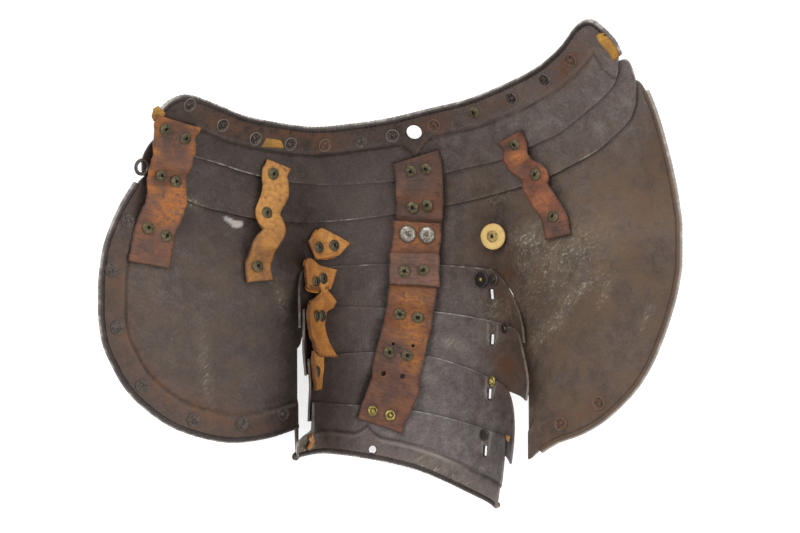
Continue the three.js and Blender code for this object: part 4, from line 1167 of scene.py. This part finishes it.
CUT_WAVES = ((9, 3, 1), (2.5, 7, 0.5))  # of the long edges: length in mm, start, strength
END_WAVE, END_DEPTH, END_REACH = 5, 2.2, 8
EDGE_ROUND, EDGE_REACH, CUP, CREASE, CREASE_WAVES = 0.5, 1.1, 0.3, 0.35, (6, 16)


def build_strap(name, place, width, at, material, ragged, seed, slot, node=None, thick=LEATHER):
    lines = even_lines(lambda share: at(*place(share, 0.5)), 1.0, count=240)
    bm, shares = grid(lines, even(max(4, round(width))))
    length = runs([at(*place(share, 0.5)) for share in lines])[-1]
    marks = []
    for vertex in bm.verts:
        a, b = vertex[shares].x, vertex[shares].y
        side = 2 * abs(b - 0.5)
        wobble = 0
        for wave, start, strength in CUT_WAVES:
            wobble += strength * noise.noise(Vector((a * length / wave, start * (b > 0.5), seed)))
        b_cut = 0.5 + (b - 0.5) * (1 + 2 * ragged * wobble / width * side)
        end = noise.noise(Vector((b * width / END_WAVE, 11 * (a > 0.5), seed)))
        end *= END_DEPTH * ragged / length
        a_cut = mix(a, 0.5, -end * abs(2 * a - 1) ** END_REACH)
        x, y, lift = place(min(1, max(0, a_cut)), b_cut)
        near = min((1 - side) * width / 2, min(a, 1 - a) * length)
        crease = Vector((a * length / CREASE_WAVES[0], b * width / CREASE_WAVES[1], seed + 5))
        lift += thick + CREASE * noise.noise(crease) + CUP * side * side * (1 - 2 * abs(a - 0.5))
        lift -= EDGE_ROUND * max(0, 1 - near / EDGE_REACH) ** 2
        vertex.co = (at(x, y, lift) + SEAT) * MM
        mark = {"edge": near, "along": a * length, "across": b * width + 40 * seed}
        for kind, spots in WEAR.get(name, WEAR["torn"]).items():
            total = 0
            for spot in spots:
                off = (a - spot["along"]) * length, (b - spot["across"]) * width
                total += spot["amount"] * bell(math.hypot(*off), spot["reach"])
            mark[kind] = min(1, total)
        marks.append(mark)
    piece = new_piece(name + "_leather", bm, (material,), slot, node)
    paint(piece, marks)
    thicken(piece, thick)
    settle(piece)
    return piece, length


# %% The straps, each with the size it was cut to
SAMPLES = even(40)
straps = {}


def state_cut(name, rows, width, widths, length):
    """Says what flat size the leather was cut to. `widths` are samples along it."""
    mean_width = sum(widths) / len(widths)
    lies_on = sorted({row["on"] + "_steel" for row in rows})
    print(name, "cut:", round(width, 1), "x", round(length, 1), "mm, mean width", round(mean_width, 1))


for number, (name, rows) in enumerate(STRAPS.items()):
    widths = [between(rows, "width", a * (len(rows) - 1)) for a in SAMPLES]
    widest = max(row["width"] for row in rows)
    ragged = 1.1 if name == "strap_left_wide" else 0.5
    slot = "tan_leather" if name == "strap_left_narrow" else "brown_leather"
    made = build_strap(name, strap_place(name, rows), widest, plan_at, LEATHERS[name], ragged,
                       number, slot, name)
    straps[name] = made[0]
    state_cut(name, rows, widest, widths, made[1])
for number, (name, rows) in enumerate(TORN_STRAPS.items()):
    at = plan_at if name == "torn_strap_top" else arm_at
    place = torn_place(rows, at)
    widths = [(at(*place(a, 1)) - at(*place(a, 0))).length for a in SAMPLES]
    made = build_strap(name, place, max(widths), at, LEATHERS["torn_strap"], 0.5, number + 9,
                       "orange_leather", name)
    straps[name] = made[0]
    state_cut(name, rows, max(widths), widths, made[1])
for number, (name, rows) in enumerate(SCRAPS.items()):
    at, kind = (arm_at, "torn_strap") if name.endswith("hem") else (plan_at, "lining")
    build_strap(name, torn_place(rows, at), 6, at, LEATHERS[kind], 0.3, number + 20,
                "orange_leather", thick=1.0)

# %% Old stitch and rivet holes in the long strap
STRAP_HOLES = table(
    "x y radius", (1.9, -48, 0.9), (14, -49.1, 0.9), (-4.2, -66.1, 1.5), (7.5, -67.9, 1.6)
)
STRAP_HEIGHT = 12  # about how high over the plates the strap's holes are
for row in STRAP_HOLES:
    above = Vector((row["x"], row["y"], form_height(row["x"], row["y"]) + STRAP_HEIGHT))
    cut_hole(straps["strap_middle_lower"], above, Vector((0, 0, 1)), row["radius"])

# %% [markdown]
# ## Rivets
# A rivet is turned from its profile with a spin. On the leather sits a brass washer, and the
# shank is spread over it, hollow at its end. Each rivet is set on the highest leather or steel
# under its washer, so none floats or sinks.

# %% Profiles: radius and height
PROFILES = {
    "eyelet": ((0, 0.05), (0.95, 0), (1.05, 0.6), (1.3, 0.85), (1.7, 0.8), (2.4, 0.6),
               (3.3, 0.4), (3.65, 0.15), (3.7, -0.3), (1.4, -0.3)),
    "iron": ((0, 1.3), (0.8, 1.25), (1.3, 0.9), (1.5, 0.35), (2.4, 0.3), (3.3, 0.45), (3.7, 0.15),
             (3.7, -0.3), (1.4, -0.3)),
    "torn": ((0, 0.2), (0.7, 0.2), (0.9, 0.8), (1.3, 1.0), (1.7, 0.7), (2.4, 0.55), (3.2, 0.4),
             (3.5, 0.15), (3.5, -0.3), (1.4, -0.3)),
    "black": ((0, 1.9), (0.7, 1.85), (1.2, 1.5), (1.5, 1.0), (2.2, 0.95), (4.0, 1.0), (4.8, 0.75),
              (5.0, 0.3), (5.0, -0.1), (1.4, -0.1)),
    "domed": ((0, 2.6), (0.7, 2.5), (1.4, 2.1), (1.9, 1.4), (2.1, 0.9), (2.8, 0.85), (3.3, 0.45),
              (3.3, -0.3), (1.4, -0.3)),
    "big": ((0, 2.0), (0.45, 1.9), (0.8, 1.35), (1.6, 1.45), (3.0, 1.65), (4.4, 1.3), (5.3, 0.6),
            (5.5, 0.1), (5.5, -0.3), (1.4, -0.3)),
    "lining": ((0, 1.1), (0.7, 1.05), (1.3, 0.75), (1.5, 0.3), (2.6, 0.25), (3.3, 0.4), (3.8, 0.65),
               (4.15, 0.55), (4.3, 0.1), (4.3, -0.35), (1.4, -0.35)),
}


# The outer end under the plate, as heights from it: a domed head, or only a short stub
OUTER_HEAD = ((1.4, -0.3), (3.6, -0.3), (3.4, -0.8), (2.2, -1.6), (0, -1.9))
OUTER_STUB = ((1.4, 0.05), (0, 0.05))
OFF_CENTRE = {"lining": 0.6, "iron": 0.3}  # peened ends that spread to one side, in mm
PEEN_RADIUS, HOLE_RADIUS, BLACK_HOLE = 1.6, 1.0, 1.3
PETALS, PETAL_DEPTH, PETAL_RING = 14, 0.16, (1.2, 5)  # of the large heads


def spun(profile, sides=20):
    bm = bmesh.new()
    points = [bm.verts.new((radius * MM, 0, height * MM)) for radius, height in profile]
    chain = [bm.edges.new(pair) for pair in zip(points, points[1:])]
    turn = {"cent": (0, 0, 0), "axis": (0, 0, 1), "angle": 2 * math.pi, "steps": sides}
    bmesh.ops.spin(bm, geom=points + chain, use_merge=True, **turn)
    bmesh.ops.remove_doubles(bm, verts=bm.verts, dist=1e-7)
    return bm


def rivet_mesh(kind, depth, outer_head):
    """The inner end by its kind, a shank down through the plate, and its outer end."""
    outer = OUTER_HEAD if outer_head else OUTER_STUB
    profile = [*PROFILES[kind], *((radius, height - depth) for radius, height in outer)]
    bm = spun(profile, 28 if kind == "big" else 20)
    shift, turn = OFF_CENTRE.get(kind, 0), 2.4 * len(bpy.data.objects)
    for vertex in bm.verts:
        off = vertex.co.to_2d().length / MM
        if vertex.co.z > -0.001 and off < PEEN_RADIUS:
            vertex.co += Vector((math.cos(turn), math.sin(turn), 0)) * shift * MM
        if kind == "big" and PETAL_RING[0] < off < PETAL_RING[1]:
            wave = math.cos(PETALS * math.atan2(vertex.co.y, vertex.co.x))
            vertex.co.z += PETAL_DEPTH * MM * wave
    bmesh.ops.recalc_face_normals(bm, faces=bm.faces)
    return bm


# %% Setting a rivet
def split(off, up):
    """The part of a vector along `up`, and how far aside of it the vector leads."""
    height = off.dot(up)
    return height, (off - up * height).length


def highest(piece, base, up, radius):
    """How far a piece reaches into the hollow within a radius of a place."""
    best = 0
    for vertex in piece.data.vertices:
        height, aside = split(vertex.co / MM - SEAT - base, up)
        if aside < radius and abs(height) < 30:
            best = max(best, height)
    return best


def set_rivet(name, kind, skin, x, y, on, plate, outer_head, metals, slot, node=None, shine=0.2):
    """Sets a rivet on the highest of what it holds. The second material shows in its hole: brass in
    the black rivet, a painted black shadow in the others.
    """
    at, up = skin
    base, direction = at(x, y, 0), up(x, y)
    radius = max(r for r, _ in PROFILES[kind])
    seat = highest(on, base, direction, radius * 0.8)
    bm = rivet_mesh(kind, seat - LIFT[plate], outer_head)
    stand(bm, base + direction * (seat + 0.25), direction)
    piece = new_piece(name, bm, metals, slot, node)
    centre = (base + direction * seat + SEAT) * MM
    hole = (BLACK_HOLE if kind == "black" else HOLE_RADIUS) * MM
    outs = [split(v.co - centre, direction)[1] / MM / radius for v in piece.data.vertices]
    # A lighter ring round the rim of the head, as strong as `shine`: partly metal worn bright, partly
    # a painted highlight.
    paint(piece, [{"ring": shine * smooth(0.8, 0.95, out)} for out in outs])
    # Faces in the hole take the second material, in most rivets a painted black shadow.
    if len(metals) > 1:
        for polygon in piece.data.polygons:
            height, aside = split(polygon.center - centre, direction)
            if aside < hole and height > -0.001:
                polygon.material_index = 1
    piece.data.set_sharp_from_angle(angle=math.radians(50))
    return piece


PLAN, ARM = (plan_at, plan_up), (arm_at, arm_up)
RIVETS = table(
    "stem ends skin on kind places",
    ("rivet_left_wide", "1 2 3 4 5 6", PLAN, "strap_left_wide", "eyelet",
     ((-137.5, 83.5, NECK), (-126, 78, NECK), (-140, 54, SECOND), (-131, 50, SECOND),
      (-145, 22, MAIN), (-134, 17, MAIN))),
    ("rivet_left_narrow", "1 2 3", PLAN, "strap_left_narrow", "eyelet",
     ((-75.5, 55, NECK), (-78, 30.5, SECOND), (-82, -1, MAIN))),
    ("rivet_middle", "1 2 3 4", PLAN, "strap_middle_upper", "eyelet",
     ((13.5, 60, NECK), (24, 61.5, NECK), (14.5, 36.5, SECOND), (24.5, 38, SECOND))),
    ("rivet_middle", "5 6", PLAN, "strap_middle_tab", "eyelet",
     ((8.6, -3.5, MAIN), (21.5, -2.5, MAIN))),
    ("rivet_middle", "7 8 9 10", PLAN, "strap_middle_lower", "eyelet",
     ((4.5, -30, L2), (17, -32, L2), (-3, -53, L3), (10.5, -55, L3))),
    ("rivet_right", "1 2 3", PLAN, "strap_right_narrow", "eyelet",
     ((79.5, 75.5, NECK), (91.5, 54.5, SECOND), (100, 28.5, MAIN))),
    ("rivet_torn", "1 2", PLAN, "torn_strap_top", "torn",
     ((-46.5, 10.5, MAIN), (-36.8, 12, MAIN))),
    ("domed_rivet", "left right", PLAN, "strap_middle_lower", "domed",
     ((-15.2, -88.5, L4), (-2.2, -91.5, L4))),
    ("big_rivet", "left right", PLAN, "strap_middle_lower", "big",
     ((10.7, 19.5, MAIN), (24, 19, MAIN))),
    ("rivet_torn", "3 4 5 6", ARM, "torn_strap_middle", "torn",
     ((-60, -10, L1), (-52, -8, L1), (-69, -30.5, L2), (-62, -30.5, L2))),
    ("rivet_torn", "7", ARM, "torn_strap_bottom", "torn", ((-76, -64, L3),)),
    ("sliding_rivet", "1", ARM, L1, "black", ((41, -8.5, MAIN),)),
    ("sliding_rivet", "2", ARM, L1, "iron", ((49, -8.5, MAIN),)),
    ("sliding_rivet", "3", ARM, L2, "iron", ((55, -38, L1),)),
    ("sliding_rivet", "4", ARM, L3, "domed", ((51, -70.5, L2),)),
    ("sliding_rivet", "5", ARM, L4, "iron", ((52.5, -103, L3),)),
)
FINISH = {
    "eyelet": ((BRASS, HOLE_SHADOW), "brass_rivets"), "domed": ((BRASS_BRIGHT,), "brass_rivets"),
    "iron": ((IRON,), "iron_rivets"), "torn": ((WASHER_BROWN, HOLE_SHADOW), "iron_rivets"),
    "big": ((TINNED,), "bright_rivets"), "black": ((BLACK_IRON, BRASS_BRIGHT), "iron_rivets"),
}
for row in RIVETS:
    metals, slot = FINISH[row["kind"]]
    under = straps.get(row["on"]) or arm_lames[row["on"]]
    shine = 0.6 if row["kind"] == "big" else 0.2
    for end, (x, y, plate) in zip(row["ends"].split(), row["places"]):
        # The trough's floor lies on the table, and each lame on the next: no head outside there.
        outer_head = row["skin"] is PLAN and plate == MAIN and row["on"] not in TROUGH_STRAPS
        name = f"{row['stem']}_{end}"
        set_rivet(name + "_turned", row["kind"], row["skin"], x, y, under, plate, outer_head,
                  metals, "iron_rivets" if row["skin"] is ARM else slot, name, shine)
print("rivets set:", sum(len(row["places"]) for row in RIVETS))

# %% [markdown]
# ## The round leather washer
# A thick disc of pale leather under one rivet, its rim worn round.

# %% Leather washer and its rivet
WASHER = {"x": 67.5, "y": 17.5, "radius": 7.6}
WASHER_PROFILE = ((0, 0), (7.3, 0), (7.8, 0.3), (8.0, 1.1), (7.9, 1.9), (7.4, 2.35), (5.5, 2.4),
                  (3, 2.25), (0, 2.2))
LEAN = 0.55  # the loose washer lies a little flatter than the plate
spot = (WASHER["x"], WASHER["y"])
base, direction = plan_at(*spot, 0), plan_up(*spot)
seat = highest(main_plate, base, direction, WASHER["radius"]) + 0.3
bm = spun(WASHER_PROFILE, 40)
for vertex in bm.verts:
    bent = 0.25 * noise.noise(vertex.co / MM / 3)
    vertex.co.x *= 1 + 0.03 * bent
    vertex.co.z += bent * MM * (vertex.co.z > 0.001)
bmesh.ops.recalc_face_normals(bm, faces=bm.faces)
lain = direction.lerp(Vector((0, 0, 1)), LEAN).normalized()
lifted = seat + WASHER["radius"] * math.sin(lain.angle(direction))
stand(bm, base + direction * lifted, lain)
washer = new_piece("leather_washer_disc", bm, (LEATHERS["leather_washer"],), "tan_leather",
                   "leather_washer")
mark = {"edge": FAR_FROM_EDGE, "worn": 0.5, "along": 0.5, "across": 0.5}
paint(washer, [mark] * len(washer.data.vertices))
washer.data.set_sharp_from_angle(angle=math.radians(50))
# Its rivet stands as the washer leans, so it has a skin of its own.
foot = base + (direction - lain) * lifted
skin = (lambda x, y, lift: foot, lambda x, y: lain)
set_rivet("washer_rivet_turned", "eyelet", skin, *spot, washer, MAIN, True,
          (BRASS_PALE, HOLE_SHADOW), "brass_rivets", "washer_rivet", 0.1)

# %% [markdown]
# ## Lining rivets
# A row of iron rivets runs along each border. They held a leather band to which the padded
# lining was sewn. The lining is gone, and only the washers are left, rusty and thin.

# %% Lining rivets along the borders
plates = {NECK: neck_lame, MAIN: main_plate}
LOOKS = {
    "iron": ((IRON,), 1.0), "rust": ((IRON_RUSTY,), 0.5), "brass": ((BRASS, HOLE_SHADOW), 0.2),
    "plain": ((IRON_PLAIN,), 0.15),
}
for number, row in enumerate(LINING_RIVETS):
    kind = "eyelet" if row["look"] == "brass" else "lining"
    metals, shine = LOOKS[row["look"]]
    x, y = seen_at(plan_at, row["x"], row["y"], LIFT[row["plate"]] + STEEL)
    set_rivet(f"lining_rivet_{number + 1}", kind, PLAN, x, y, plates[row["plate"]],
              row["plate"], True, metals, "iron_rivets", shine=shine)

# %% [markdown]
# ## A small iron hoop
# A hoop of wire stands out of the left edge, where a lace was tied. A circle is spun round it.

# %% The hoop
HOOP = {"x": -148.8, "y": 58.8, "radius": 4.2, "wire": 1.1}
bm = bmesh.new()
bmesh.ops.create_circle(bm, segments=10, radius=HOOP["wire"] * MM)
bm.transform(Matrix.Translation((HOOP["radius"] * MM, 0, 0)) @ Matrix.Rotation(math.pi / 2, 4, "X"))
turn = {"cent": (0, 0, 0), "axis": (0, 0, 1), "angle": 2 * math.pi, "steps": 28}
bmesh.ops.spin(bm, geom=bm.verts[:] + bm.edges[:], use_merge=True, **turn)
bmesh.ops.recalc_face_normals(bm, faces=bm.faces)
spot = (HOOP["x"], HOOP["y"])
stand(bm, plan_at(*spot, LIFT[SECOND] + STEEL + HOOP["wire"]), plan_up(*spot))
hoop = new_piece("lace_hoop", bm, (IRON,), "iron_rivets")
paint(hoop, [{"ring": 0.2}] * len(hoop.data.vertices))

# %% [markdown]
# ## The scene
# A plain pale floor, a camera straight above, and soft light from all sides.

# %% Floor, camera and light
PAPER = {"Roughness": 0.9, "Base Color": srgb("#f6f6f5"), "Emission Color": srgb("#ffffff"),
         "Emission Strength": 0.45}
bm = bmesh.new()
bmesh.ops.create_grid(bm, x_segments=1, y_segments=1, size=4)
floor = new_object("floor", bm, (new_material("paper_matt_white", PAPER)[0],))
floor.location.z = min(0, cad_box[0][2]) - 0.0005

camera_data = bpy.data.cameras.new("camera")
camera_data.sensor_width, camera_data.lens = 36, 168
camera = bpy.data.objects.new("camera", camera_data)
camera.location = (0.00542, 0.0005, 2.3)
bpy.context.collection.objects.link(camera)
bpy.context.scene.camera = camera

world = bpy.data.worlds.new("studio")
bpy.context.scene.world = world
world.use_nodes = True
background = world.node_tree.nodes["Background"].inputs
background["Color"].default_value, background["Strength"].default_value = srgb("#f4f6fa"), 0.8
bpy.context.scene.view_settings.view_transform = "Standard"
LAMPS = table(
    "name x y z size power", ("key", -0.7, 0.9, 1.5, 0.9, 14), ("fill", 0.9, -0.3, 1.3, 1.2, 8)
)
for row in LAMPS:
    lamp_data = bpy.data.lights.new(row["name"], "AREA")
    lamp_data.energy, lamp_data.size = row["power"], row["size"]
    lamp = bpy.data.objects.new(row["name"], lamp_data)
    lamp.location = (row["x"], row["y"], row["z"])
    lamp.rotation_euler = lamp.location.to_track_quat("Z", "Y").to_euler()
    bpy.context.collection.objects.link(lamp)
